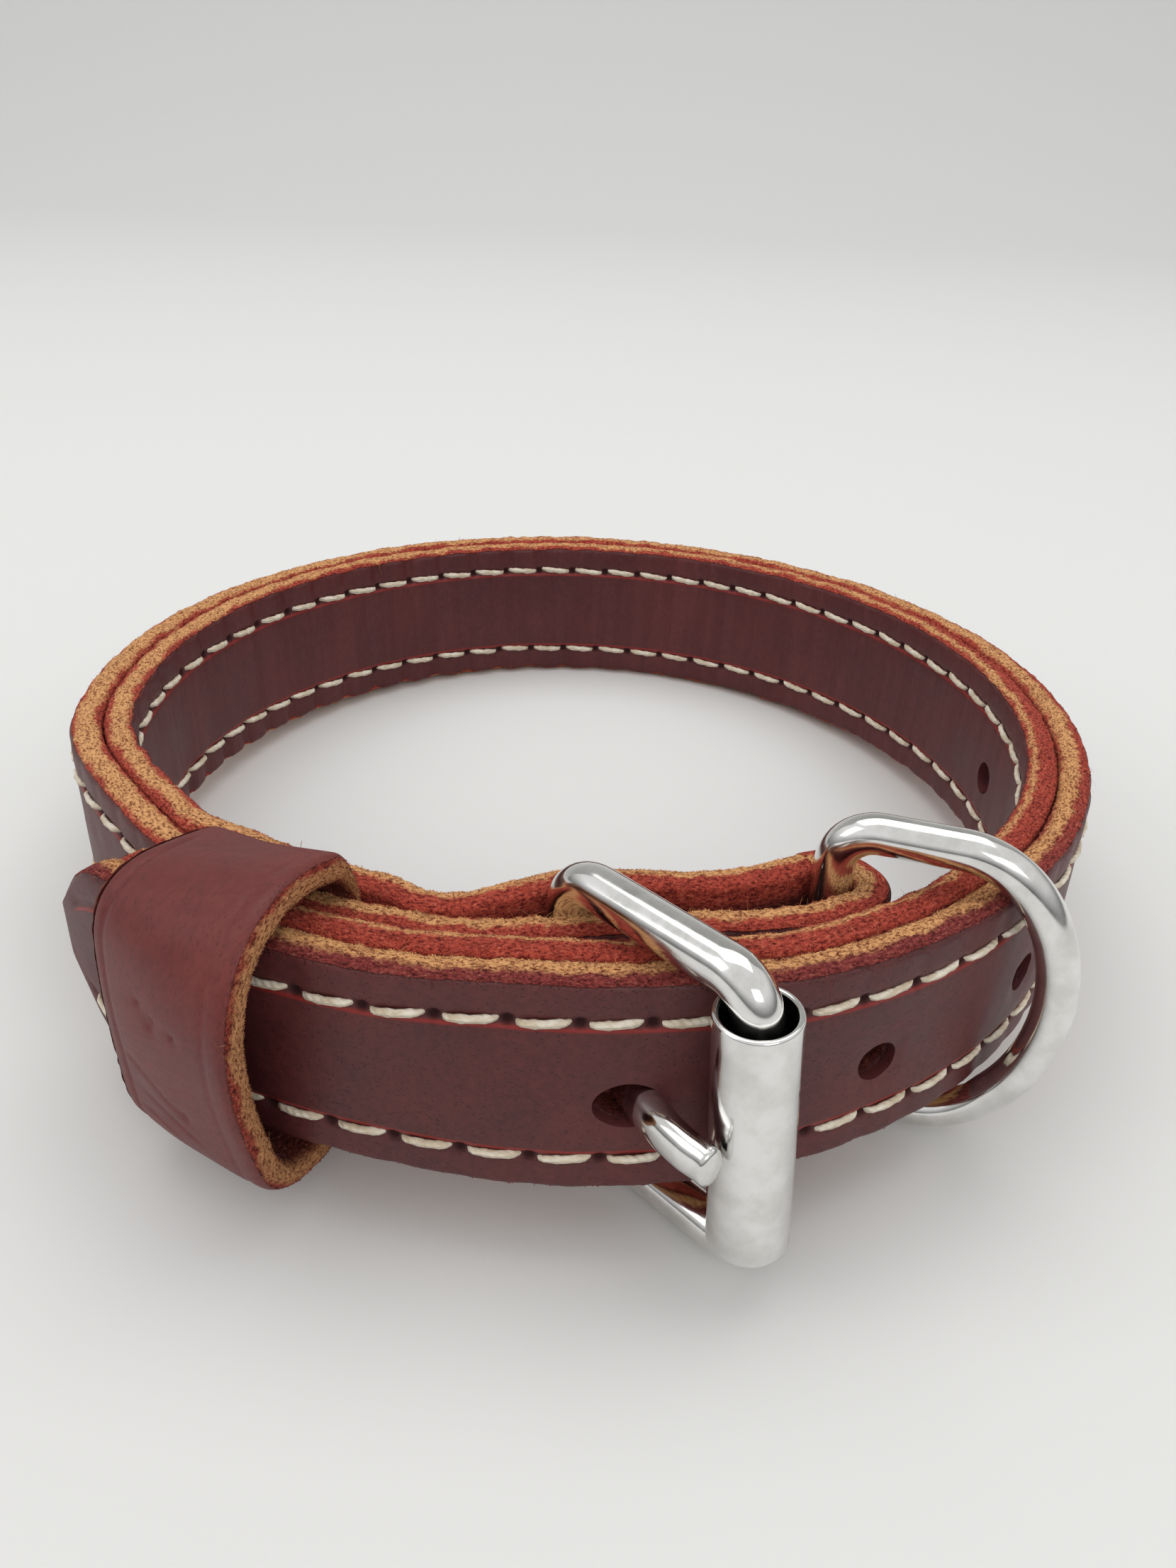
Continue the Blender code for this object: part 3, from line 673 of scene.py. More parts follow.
def punch(obj, cutter):
    """Cuts an object and keeps the result as its own mesh.

    The points of the cut take the values of the nearest point of the skin, and the faces between
    two rims are the walls of the holes, which get the second material.
    """
    change = obj.modifiers.new("punch", "BOOLEAN")
    change.operation = "DIFFERENCE"
    change.solver = "MANIFOLD"
    change.object = cutter
    graph = bpy.context.evaluated_depsgraph_get()
    mesh = bpy.data.meshes.new_from_object(obj.evaluated_get(graph))
    obj.modifiers.remove(change)
    obj.data = mesh
    place = np.empty(len(mesh.vertices) * 3, np.float32)
    mesh.vertices.foreach_get("co", place)
    place = place.reshape(-1, 3)
    new = read_values(mesh, "own")[:, 0] < 0.999
    kept = np.flatnonzero(~new)
    nearest = [kept[((place[kept] - spot) ** 2).sum(axis=1).argmin()] for spot in place[new]]
    for key in ("lie", "grain", "seam", "dish", "dye"):
        data = read_values(mesh, key)
        data[new] = data[nearest]
        write(mesh, key, data)
    start = np.empty(len(mesh.polygons), np.int32)
    mesh.polygons.foreach_get("loop_start", start)
    corner = np.empty(len(mesh.loops), np.int32)
    mesh.loops.foreach_get("vertex_index", corner)
    wall = np.logical_and.reduceat(new[corner], start)
    mesh.polygons.foreach_set("material_index", wall.astype(np.int32))
    mesh.set_sharp_from_angle(angle=math.radians(62))
    print(obj.name, "punched:", len(mesh.polygons), "faces,", int(wall.sum()), "of them in the holes")


cutter = cutter_from(punches)
punch(outer_ply, cutter)
punch(inner_ply, cutter)
bpy.data.objects.remove(cutter)

# %% [markdown]
# ## Steel wire
#
# The buckle's frame and the D-ring are bent from round wire. A circle carried along a planar path
# is enough: the path's own plane gives the two directions of the circle, so the tube never twists.

# %% Wire
def arc(centre, across, along, start, end, steps):
    """Points of an ellipse's arc in the XZ plane, from one angle to another."""
    a = np.radians(np.linspace(start, end, steps))
    return np.stack([centre[0] + along * np.cos(a), 0 * a, centre[1] + across * np.sin(a)], axis=-1)


def tube(path, radius, normal, around=32, joined=True):
    """A circle of a radius carried along a path that lies in the plane of a normal."""
    if joined:
        way = np.roll(path, -1, axis=0) - np.roll(path, 1, axis=0)
    else:
        way = np.gradient(path, axis=0)
    side = unit(np.cross(unit(way), normal))
    a = round_turns(around)[None, :, None]
    radius = np.broadcast_to(np.asarray(radius, float), (len(path),))[:, None, None]
    ring = np.cos(a) * side[:, None, :] + np.sin(a) * np.asarray(normal, float)
    return path[:, None, :] + radius * ring


half = (30.2 * MM + WIRE) / 2
b, h = 4.0 * MM, 5.0 * MM
frame_path = np.concatenate([
    arc((BUCKLE_LENGTH - b, half - b), b, b, 0, 90, 16), arc((h, half - h), h, h, 90, 180, 16),
    arc((h, h - half), h, h, 180, 270, 16), arc((BUCKLE_LENGTH - b, b - half), b, b, 270, 360, 16)])
frame_path = evenly(frame_path, 420)
buckle_frame = skin("frame_wire", in_buckle(tube(frame_path, WIRE / 2, (0, 1, 0), 40)),
                    joined=True)
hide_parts("buckle_frame")

half = (40.6 * MM - RING_WIRE) / 2
reach, bow, corner = 30.4 * MM - RING_WIRE, 12.9 * MM, 4.5 * MM
ring_path = np.concatenate([
    arc((reach - bow, 0), half, bow, -90, 90, 90), arc((corner, half - corner), corner, corner, 90, 180, 24),
    arc((corner, corner - half), corner, corner, 180, 270, 24)])
ring_path = evenly(ring_path, 460)
d_ring = skin("ring_wire", in_ring(tube(ring_path, RING_WIRE / 2, (0, 1, 0), 40)),
              joined=True, body="d_ring")
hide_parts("d_ring")
print("frame", measured(frame_path)[-1].round(4), "m of wire, ring", measured(ring_path)[-1].round(4))

# %% [markdown]
# ## Roller
#
# The roller is a short tube of thin sheet, rolled round the frame's bar and rubbed round at its
# rims. Its wall is turned from a small closed profile, like a ring on a lathe.

# %% Lathe
def lathe(profile, around=96):
    """A closed profile of (radius, height) turned round Z."""
    a = round_turns(around)[None, :]
    r, z = np.asarray(profile, float).T[:, :, None]
    return np.stack([r * np.cos(a), r * np.sin(a), np.broadcast_to(z, r.shape) + 0 * a], axis=-1)


def rounded_wall(outside, inside, half_length, steps=8):
    """Profile of a tube wall: two straight sides joined by half circles at the rims."""
    middle, small = (outside + inside) / 2, (outside - inside) / 2
    a = np.radians(np.linspace(0, 180, steps + 1))
    top = np.stack([middle + small * np.cos(a), half_length - small + small * np.sin(a)], axis=-1)
    low = np.stack([middle - small * np.cos(a), small - half_length - small * np.sin(a)], axis=-1)
    down = np.linspace(half_length - small, small - half_length, 14)[1:-1]
    inner = np.stack([np.full(12, inside), down], axis=-1)
    outer = np.stack([np.full(12, outside), -down], axis=-1)
    return np.concatenate([top, inner, low, outer])


roller_grid = lathe(rounded_wall(ROLLER_RADIUS, ROLLER_RADIUS - 0.7 * MM, 14.8 * MM))
roller_grid = roller_grid + np.array([BUCKLE_LENGTH, 0, 0])
roller = skin("roller_sheet", in_buckle(roller_grid), joined=True, body="roller")
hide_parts("roller")

# %% [markdown]
# ## Tongue
#
# The tongue is forged wire: an eye that turns round the heel bar, a straight shank through the hole
# and a blunt tip that lies over the roller.

# %% Tongue
over = -(ROLLER_RADIUS + TONGUE_TIP / 2 + FIT)
rows = np.array([(0.10, 0.13), (0.30, 0.385), (0.50, 0.64), (0.66, 0.845), (0.78, 0.965),
                 (0.89, 1.01), (0.97, 1.0), (1.03, 1.0)])
knots = np.stack([BUCKLE_LENGTH * rows[:, 0], over * rows[:, 1], 0 * rows[:, 0]], axis=-1)
knots[0] = shank_start + shank_way * (WIRE / 2 + FIT + 0.6 * 1.9 * MM - np.linalg.norm(shank_start))


def between(a, b, c, d, steps):
    """Spans from b to c by steps: a cubic whose slope at an end is half the way from the point
    before that end to the point after it.
    """
    t = (np.arange(steps) / steps)[None, :, None]
    a, b, c, d = a[:, None], b[:, None], c[:, None], d[:, None]
    return 0.5 * (2 * b + (c - a) * t + (2 * a - 5 * b + 4 * c - d) * t ** 2
                  + (3 * b - a - 3 * c + d) * t ** 3)


def through_points(knots, steps):
    """Smooth curve through points, with the same number of steps in each span."""
    first, last = 2 * knots[0] - knots[1], 2 * knots[-1] - knots[-2]
    p = np.concatenate([[first], knots, [last]])
    curve = between(p[:-3], p[1:-2], p[2:-1], p[3:], steps)
    return np.concatenate([curve.reshape(-1, 3), knots[-1:]])


tongue_path = evenly(through_points(knots, 12), 90, joined=False)
share = np.linspace(0, 1, 90)
tongue_radius = TONGUE_WIRE / 2 + (TONGUE_TIP - TONGUE_WIRE) / 2 * share ** 2
from_end = (1 - share) * measured(tongue_path)[-1]
tongue_radius = tongue_radius - end_round(from_end, 0.5 * MM)
tongue_grid = tube(tongue_path, tongue_radius, (0, 0, 1), 40, False)
flat = smooth(share, 0.35, 0.8)[:, None, None]
tongue_grid = tongue_grid + flat * (tongue_grid - tongue_path[:, None]) * [-0.08, -0.08, 0.22]
tongue = skin("tongue_shank", in_buckle(tongue_grid))
eye_profile = rounded_wall(WIRE / 2 + FIT + 1.9 * MM, WIRE / 2 + FIT, 2.7 * MM)
tongue_eye = skin("tongue_eye", in_buckle(lathe(eye_profile, 64)), joined=True)
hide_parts("tongue")
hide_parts("tongue")

# %% [markdown]
# ## Keeper
#
# The keeper is a loop of the same leather that holds the strap's end. Its ends are thinned and sewn
# in between the plies behind, and its front bows away from the strap towards the right. Its outline
# is a closed curve through a few measured places, worked out again at each angle, and a rounded
# section of one thickness is carried round it.

# %% Keeper
KEEPER_SECTION = np.array([
    (0.00, 0.04), (0.00, 0.35), (0.00, 0.68), (0.00, 1.00), (0.10, 1.50), (0.38, 1.88),
    (0.72, 2.00), (1.08, 1.80), (1.62, 1.08), (2.00, 0.74), (1.92, 0.46), (1.62, 0.20),
    (1.30, -0.10), (0.86, -0.80), (0.50, -1.00), (0.12, -0.75)])
KEEPER_PLY = 3.3 * MM


def closed_curve(points, steps):
    """Smooth closed curve through points, with the same number of steps in each span."""
    a, b, c, d = (np.roll(points, k, axis=0) for k in (1, 0, -1, -2))
    return between(a, b, c, d, steps).reshape(-1, 2)


def rounded(outline, spread):
    """Every point becomes the bell-weighted mean of its neighbours, which softens the corners."""
    steps = np.arange(-3 * spread, 3 * spread + 1)
    weights = np.exp(-0.5 * (steps / spread) ** 2)
    weights /= weights.sum()
    return sum(w * np.roll(outline, k, axis=0) for w, k in zip(weights, steps))


def keeper_outline(share):
    """Angle, inside outline, outward normals, thickness and places in the section's table.

    All of them are for one share of the keeper's width, from its left edge to its right one.
    """
    angle = KEEPER_ANGLES[0] + (KEEPER_ANGLES[1] - KEEPER_ANGLES[0]) * share
    neck_side = float(outer_radius(angle + 360)) - PLY / 2 - FIT
    slack = (0.6 + 5.4 * share) * MM
    head = (0.5 + 2.6 * share) * MM
    foot = (0.6 + 0.7 * share) * MM
    face = float(first_seam(angle)) + SEAM + PLY / 2
    low, high = -float(drop(angle + 360)), STRAP_WIDTH - float(drop(angle))
    spots = closed_curve(KEEPER_SECTION, 16)
    out = np.interp(spots[:, 0], (0, 1, 2), (neck_side, face, face + slack))
    up = np.interp(spots[:, 1], (-1, 0, 1, 2), (low - foot, low, high, high + head))
    outline = rounded(evenly(np.column_stack([out, up, spots]), 300, width=2), 9)
    inner, spots = outline[:, :2], outline[:, 2:]
    way = unit(np.roll(inner, -1, axis=0) - np.roll(inner, 1, axis=0))
    normal = np.column_stack([-way[:, 1], way[:, 0]])
    inner = inner + normal * (0.45 * MM * smooth(spots[:, 0], 0.2, 1.0))[:, None]
    thick = KEEPER_END + (KEEPER_PLY - KEEPER_END) * smooth(spots[:, 0], 0.0, 0.25)
    return angle, inner, normal, thick, spots


KEEPER_PITS = ((0.42, 0.76, 0.40), (0.50, 0.69, 0.55), (0.52, 0.72, 0.35), (0.66, 0.71, 0.28),
               (0.60, 0.30, 0.35))


def keeper_relief(share, spots):
    """How deep the keeper's face lies below its smooth shape: edge creases, pits and wrinkles."""
    front, height = spots[:, 0], spots[:, 1]
    visible = smooth(front, 0.35, 0.6)
    depth = 0.20 * np.exp(-((share - 0.15 - 0.01 * np.sin(5 * height)) / 0.018) ** 2)
    depth = depth + 0.10 * np.exp(-((share - 0.86) / 0.02) ** 2)
    for across, up, size in KEEPER_PITS:
        away = np.hypot((share - across) * 17, (height - up) * 25)
        depth = depth + 0.22 * (front > 1) * np.exp(-(away / size) ** 2)
        depth = depth + 0.10 * (front > 1) * np.exp(-(away / (size * 3)) ** 2)
    for start, reach, low in ((0.20, 0.55, 0.42), (0.30, 0.60, 0.26), (0.24, 0.42, 0.12)):
        curve = low - 0.5 * np.clip(share - start, 0, 1) ** 1.4
        along = smooth(share, start - 0.05, start + 0.05) * (1 - smooth(share, reach, reach + 0.12))
        depth = depth + 0.16 * along * (front > 0.9) * np.exp(-((height - curve) / 0.022) ** 2)
    return depth * visible * MM


def keeper_section(steps=72):
    """Rows of (share of the width, share of the thickness, grain) round the band's section."""
    turn = 0.075
    face = np.linspace(turn, 1 - turn, steps)
    quarter = np.radians(np.linspace(0, 90, 7))[1:-1]
    rows = [(s, 1.0, 1.0) for s in face]
    rows += [(1 - turn + turn * math.sin(q), 0.5 + 0.5 * math.cos(q), 1 - smooth(math.degrees(q), 20, 70))
             for q in quarter]
    rows += [(1.0, 0.5, 0.0), (1.0, 0.35, 0.0)]
    rows += [(1 - turn + turn * math.cos(q), 0.3 - 0.3 * math.sin(q), 0.0) for q in quarter]
    rows += [(s, 0.0, 0.0) for s in face[::-3]]
    rows += [(turn - turn * math.sin(q), 0.3 - 0.3 * math.cos(q), 0.0) for q in quarter]
    rows += [(0.0, 0.35, 0.0), (0.0, 0.5, 0.0)]
    rows += [(turn - turn * math.cos(q), 0.5 + 0.5 * math.sin(q), 1 - smooth(math.degrees(q), 20, 70))
             for q in quarter[::-1]]
    return np.array(rows)


band = keeper_section()
columns = []
lies = []
for share, depth, _ in band:
    angle, inner, normal, thick, spots = keeper_outline(share)
    sunk = keeper_relief(share, spots) if depth == 1.0 else 0.0
    outline = inner + normal * (thick * depth - sunk)[:, None]
    walk = measured(inner)
    columns.append(np.column_stack([plan(angle, outline[:, 0]), outline[:, 1]]))
    lies.append(np.column_stack([walk, np.full(len(walk), (depth - 0.5) * KEEPER_PLY),
                                 np.full(len(walk), (share - 0.5) * 20 * MM)]))
keeper_grid = np.stack(columns, axis=1)
keeper_lie = np.stack(lies, axis=1)
raw = 1 - band[None, :, 2:]
keeper_grid = keeper_grid + 0.10 * MM * raw * np.stack(
    [hide_noise(keeper_lie + k, 0.7 * MM, 20 + k) for k in range(3)], axis=-1)
keeper_grid = keeper_grid + 0.10 * MM * hide_noise(keeper_lie, 7 * MM, 24)[..., None]
keeper_grain = np.broadcast_to(band[:, 2], keeper_grid.shape[:2])
keeper_core = np.zeros(keeper_grid.shape) + [-0.25, -0.05, 0.0]
keeper_values = {"lie": keeper_lie, "grain": keeper_grain, "dye": keeper_core}
keeper = skin("keeper_loop", stood(keeper_grid), keeper_values, joined=True)
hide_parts("keeper")
print("keeper:", len(keeper.data.polygons), "faces")

# %% [markdown]
# ## Thread
#
# Both rows are sewn with waxed two-strand thread. Each stitch is a short lay of thread that dives
# into a needle hole at both ends, and its two strands turn round each other like a rope. A round
# section with two lobes, turned as it goes along, gives the rope for very few faces.

# %% Stitches
THREAD = 0.46 * MM           # radius of the laid thread
STITCH_LENGTH = 5.9 * MM


def stitch_grid(along=13, around=10, twist=1.4):
    """One stitch on a flat strap: X along, Y up from the face, Z across.

    The middle line rises from the hole as a flattened arch. The radius is that of two lobes,
    1 + 0.16 cos 2 (turn - twist), and it thins towards both ends.
    """
    t = np.sin(np.linspace(-1, 1, along) * math.pi / 2)
    rise = 0.30 * MM * (1 - t * t) - 0.8 * MM * np.abs(t) ** 9
    size = THREAD * (0.34 + 0.70 * np.clip(1 - np.abs(t) ** 5, 0, 1) ** 0.7)
    a = round_turns(around)
    lobes = 1 + 0.16 * np.cos(2 * (a[None, :] - twist * math.pi * t[:, None]))
    x = np.broadcast_to((t * STITCH_LENGTH / 2)[:, None], lobes.shape)
    y = rise[:, None] + 0.75 * size[:, None] * lobes * np.cos(a)
    z = size[:, None] * lobes * np.sin(a)
    turn = np.broadcast_to(a, lobes.shape)
    return np.stack([x, y, z], axis=-1), np.stack([x, turn * MM, 0 * x], axis=-1)


def on_strap(ply, along, out, high):
    """A point of the unbent strap, bent into place: along from the tip, out of the grain, up."""
    path, angles = course[ply]
    walk = measured(path)
    if ply == "inner":
        path, angles, walk = path[::-1], angles[::-1], walk[-1] - walk[::-1]
    place = followed(along, walk, path)
    way = unit(np.gradient(path, axis=0))
    grain = np.stack([way[:, 1], -way[:, 0]], axis=-1) * (1 if ply == "outer" else -1)
    grain = followed(along, walk, grain)
    angle = np.interp(along, walk, angles)
    lean = inward_lean(ply, angle.ravel(), high.reshape(-1, 1) / (STRAP_WIDTH / 2)).reshape(high.shape)
    out = out - lean if ply == "outer" else out + lean
    spot = place + grain * out[..., None]
    return np.concatenate([spot, (STRAP_WIDTH / 2 - drop(angle) + high)[..., None]], axis=-1)


def sew(name, ply):
    """Every stitch of one ply's face, in both rows, as one piece."""
    shape, turn = stitch_grid()
    rows, around = shape.shape[:2]
    rng = np.random.default_rng(7 if ply == "outer" else 8)
    verts, faces, lies = [], [], []
    for side in (1, -1):
        for middle in stitch_middles(ply, side):
            slant = math.radians(4.5) + rng.normal(0, 0.02)
            x, y, z = np.moveaxis(shape, -1, 0)
            along = middle + x * math.cos(slant) - z * math.sin(slant)
            row = side * ROW_SHARE * tip_half_height(along)
            high = row + x * math.sin(slant) + z * math.cos(slant) + rng.normal(0, 0.05 * MM)
            out = PLY / 2 - 0.22 * MM + y + rng.normal(0, 0.03 * MM)
            spot = on_strap(ply, along, out, high)
            base = len(verts) * (rows * around + 2)
            block = spot.reshape(-1, 3)
            verts.append(np.concatenate([block, spot[0].mean(axis=0)[None], spot[-1].mean(axis=0)[None]]))
            tag = turn.reshape(-1, 3) + [middle, 0, side * 0.01]
            lies.append(np.concatenate([tag, tag[:1], tag[-1:]]))
            faces += [[base + v for v in face] for face in skin_faces(rows, around, flip=True)]
    obj = piece_from(name, stood(np.concatenate(verts)), faces, {"lie": np.concatenate(lies)})
    print(name, len(faces), "faces in", len(verts), "stitches")
    return obj


outer_seam = sew("outer_seam", "outer")
inner_seam = sew("inner_seam", "inner")

# %% [markdown]
# ## Loose fibres
#
# Cut leather is a felt of fibres, and the raw edges of an oiled collar are furry. A few thousand
# short hairs stand on the edges, most of them at the front where the camera is close. Each hair is
# a bent three-sided spike, and all of them are worked out together as one array.

# %% Hairs on the raw edges
def hairs(name, grid, lie, tint, edge_points, rows, count, length, seed, slot):
    """Hairs on chosen points of a grid: base + out * t + lean * t * t, thinner towards the end."""
    rng = np.random.default_rng(seed)
    r = rng.choice(rows, count)
    c = rng.choice(edge_points, count)
    around = grid.shape[1]
    step = grid[np.minimum(r + 1, len(grid) - 1), c] - grid[np.maximum(r - 1, 0), c]
    side = grid[r, (c + 1) % around] - grid[r, c - 1]
    out, step, side = unit(np.cross(side, step)), unit(step), unit(side)
    size = length * rng.lognormal(0, 0.38, count)[:, None]
    spin = rng.normal(0, 1, (count, 2))
    lean = step * spin[:, :1] * 1.4 + side * spin[:, 1:] * 0.9
    shift = rng.uniform(-0.5, 0.5, (count, 2)) * MM
    base = grid[r, c] + step * shift[:, :1] * 0.6 + side * shift[:, 1:] * 0.2 - out * 0.10 * MM
    t = np.array([0.0, 0.5, 1.0])[None, :, None]
    line = base[:, None] + (out * size)[:, None] * t * (1 - 0.35 * t) + (lean * size)[:, None] * t * t
    thick = rng.uniform(0.035, 0.065, count)[:, None, None] * MM * (1 - 0.6 * t)
    a = np.radians([0, 120, 240])[None, None, :, None]
    ring = thick[:, :, None] * (np.cos(a) * step[:, None, None] + np.sin(a) * side[:, None, None])
    spots = (line[:, :, None] + ring).reshape(count, 9, 3)
    start = np.arange(count)[:, None, None] * 9
    quads = np.array([[3 * k + i, 3 * k + (i + 1) % 3, 3 * k + 3 + (i + 1) % 3, 3 * k + 3 + i]
                      for k in range(2) for i in range(3)])[None]
    ends = np.array([[6, 7, 8], [2, 1, 0]])[None]
    faces = (start + quads).reshape(-1, 4).tolist() + (start + ends).reshape(-1, 3).tolist()
    tags = np.repeat(lie[r, c][:, None], 9, axis=1)
    tints = np.repeat(tint[r, c][:, None], 9, axis=1)
    shade = np.repeat(rng.uniform(0, 1, count)[:, None], 9, axis=1)
    obj = piece_from(name, stood(spots), faces, {"lie": tags.reshape(-1, 3), "dye": tints.reshape(-1, 3),
                                                 "shade": shade.ravel()})
    print(name, 14 * count, "triangles in", count, "hairs")
    return obj


edge_top = np.flatnonzero((kinds < 0.6) & (np.arange(len(kinds)) < 29))[:17]
edge_low = (len(kinds) - edge_top) % len(kinds)


def rows_between(ply, count, low, high):
    """Stations of a ply between two angles, the second stretch counted on past 360."""
    angle = stations(ply, count)[1]
    return np.flatnonzero((angle > low) & (angle < high))


FUR = (("front", edge_top, ((-45, 75), (315, 391)), 9000, 0.60 * MM),
       ("back", edge_top, ((75, 315),), 3500, 0.40 * MM),
       ("below", edge_low, ((-51, 391),), 2000, 0.40 * MM))
fur = []
for ply, first_seed, skin_parts in (("outer", 11, (outer_grid, outer_lie, outer_dye)),
                                    ("inner", 21, (inner_grid, inner_lie, inner_dye))):
    for number, (label, points, spans, count, length) in enumerate(FUR):
        rows = np.concatenate([rows_between(ply, len(skin_parts[0]), *span) for span in spans])
        fur.append(hairs(f"{ply}_fur_{label}", *skin_parts, points, rows, count, length,
                         first_seed + number, "strap_leather"))
keeper_edge = np.flatnonzero((band[:, 0] > 0.93) & (band[:, 2] < 0.6))
fur.append(hairs("keeper_fur", keeper_grid, keeper_lie, keeper_core, keeper_edge,
                 np.arange(len(keeper_grid)), 3200, 0.36 * MM, 17, "keeper_leather"))

# %% [markdown]
# ## Finishes
#
# A material is a tree of small nodes. The class below adds a node per call and returns its result,
# so that a finish reads as a recipe: take a noise, range it, mix two colours by it.

# %% Recipes for materials
def paint(red, green, blue):
    """A colour given in 0 to 255, as the light values that the shaders use."""
    values = np.array([red, green, blue]) / 255
    line = np.where(values <= 0.04045, values / 12.92, ((values + 0.055) / 1.055) ** 2.4)
    return (*line.tolist(), 1.0)


class Recipe:
    """A node tree that is written step by step. Values may be numbers, colours or results."""

    def __init__(self, tree):
        self.tree = tree

    def fill(self, socket, value):
        """Links a result to a socket, or sets a plain value on it."""
        if isinstance(value, bpy.types.NodeSocket):
            self.tree.links.new(value, socket)
        else:
            socket.default_value = value

    def add(self, kind, inputs=None, **settings):
        """Adds a node, sets its properties and fills its inputs."""
        node = self.tree.nodes.new("ShaderNode" + kind)
        for key, value in settings.items():
            setattr(node, key, value)
        for key, value in (inputs or {}).items():
            self.fill(node.inputs[key], value)
        return node

    def math(self, operation, *values):
        """A Math node's result."""
        return self.add("Math", dict(enumerate(values)), operation=operation).outputs[0]

    def plus(self, a, b):
        return self.math("ADD", a, b)

    def minus(self, a, b):
        return self.math("SUBTRACT", a, b)

    def times(self, a, b):
        return self.math("MULTIPLY", a, b)

    def mix(self, factor, a, b, blend="MIX"):
        """Two colours mixed by a factor."""
        node = self.add("Mix", data_type="RGBA", blend_type=blend)
        return self.mixed(node, factor, a, b)

    def mix_number(self, factor, a, b):
        """Two numbers mixed by a factor."""
        return self.mixed(self.add("Mix", data_type="FLOAT"), factor, a, b)

    def mixed(self, node, *values):
        """Fills the sockets that a Mix node shows, and gives the one result that it shows."""
        for socket, value in zip([s for s in node.inputs if s.enabled], values):
            self.fill(socket, value)
        return next(s for s in node.outputs if s.enabled)

    def noise(self, place, scale, detail=3.0, roughness=0.5):
        """Noise on a place in metres: a scale of 100 gives patches of a centimetre."""
        return self.add("TexNoise", {"Vector": place, "Scale": scale, "Detail": detail,
                                     "Roughness": roughness}).outputs["Fac"]

    def ranged(self, value, low, high, to_low=0.0, to_high=1.0):
        """A value taken from one range to another with eased ends."""
        return self.add("MapRange", {"Value": value, "From Min": low, "From Max": high,
                                     "To Min": to_low, "To Max": to_high},
                        interpolation_type="SMOOTHSTEP").outputs["Result"]

    def mapped(self, place, scale, rotation=(0, 0, 0)):
        """A place turned and stretched: a scale under 1 makes a pattern longer."""
        return self.add("Mapping", {"Vector": place, "Scale": scale, "Rotation": rotation}).outputs["Vector"]

    def read(self, name, result="Vector"):
        """A named value of the mesh."""
        return self.add("Attribute", attribute_name=name).outputs[result]

    def parts(self, vector):
        """X, Y and Z of a vector."""
        return self.add("SeparateXYZ", {"Vector": vector}).outputs

    def relief(self, shader, height, distance, strength=1.0):
        """A height in steps of a distance in metres, as the shader's bump."""
        bump = self.add("Bump", {"Height": height, "Distance": distance, "Strength": strength})
        self.fill(shader.inputs["Normal"], bump.outputs["Normal"])


def finish_of(name, roughness=0.5, metallic=0.0):
    """A new material, its recipe and its shader."""
    mat = bpy.data.materials.new(name)
    mat.use_nodes = True
    shader = mat.node_tree.nodes["Principled BSDF"]
    shader.inputs["Roughness"].default_value = roughness
    shader.inputs["Metallic"].default_value = metallic
    return mat, Recipe(mat.node_tree), shader


def group_of(name, inputs, outputs):
    """A node group with named sockets, its recipe, its inputs' results and its outputs."""
    group = bpy.data.node_groups.new(name, "ShaderNodeTree")
    for label, kind in inputs:
        group.interface.new_socket(label, in_out="INPUT", socket_type="NodeSocket" + kind)
    for label, kind in outputs:
        group.interface.new_socket(label, in_out="OUTPUT", socket_type="NodeSocket" + kind)
    given = group.nodes.new("NodeGroupInput").outputs
    return group, Recipe(group), given, group.nodes.new("NodeGroupOutput").inputs


print("burgundy as light values:", [round(v, 3) for v in paint(96, 52, 50)[:3]])

# %% [markdown]
# ## The grain face and the raw edge
#
# Both leathers use the same two effects, so each one is a node group. The grain face has slow
# stains, fine mottling, short pores in slanting rows, and wrinkles where a ply is bent inwards, with
# painted shade darkening the wrinkle lines. Both groups read the place on the unbent strap, so the
# pattern bends with the leather.

# %% Grain face
face_group, leather, given, gives = group_of(
    "grain_face",
    [("Place", "Vector"), ("Deep", "Color"), ("Light", "Color"), ("Pores", "Float"), ("Wrinkles", "Float")],
    [("Color", "Color"), ("Roughness", "Float"), ("Height", "Float")])
place = given["Place"]
stain = leather.noise(place, 75.0, 5.0, 0.6)
fleck = leather.noise(place, 1300.0, 3.0, 0.6)
tone = leather.plus(leather.ranged(stain, 0.2, 0.8, 0.1, 0.65), leather.ranged(fleck, 0.35, 0.65, 0.0, 0.25))
colour = leather.mix(tone, given["Deep"], given["Light"])
slanted = leather.mapped(place, (0.55, 0.8, 1.3), (0, 0.5, 0))
cells = leather.add("TexVoronoi", {"Vector": slanted, "Scale": 3000.0, "Randomness": 0.7})
pore = leather.ranged(cells.outputs["Distance"], 0.12, 0.34, 1.0, 0.0)
patch = leather.ranged(leather.noise(place, 150.0, 2.0), 0.10, 0.40)
pore = leather.times(leather.times(pore, patch), given["Pores"])
colour = leather.mix(leather.times(pore, 0.85), colour, paint(30, 12, 14))
upright = leather.mapped(place, (1.0, 0.3, 0.07))
wrinkle = leather.ranged(leather.noise(upright, 420.0, 4.0, 0.6), 0.36, 0.6)
line = leather.times(leather.minus(1.0, wrinkle), given["Wrinkles"])
# painted shade: the wrinkle lines are darkened towards a deep red, as shade in the creases
leather.fill(gives["Color"], leather.mix(leather.times(line, 0.5), colour, paint(74, 20, 22)))
leather.fill(gives["Roughness"], leather.ranged(stain, 0.25, 0.75, 0.42, 0.56))
height = leather.minus(leather.times(fleck, 0.25), pore)
leather.fill(gives["Height"], leather.minus(height, leather.times(line, 1.4)))
print("grain face:", len(face_group.nodes), "nodes")
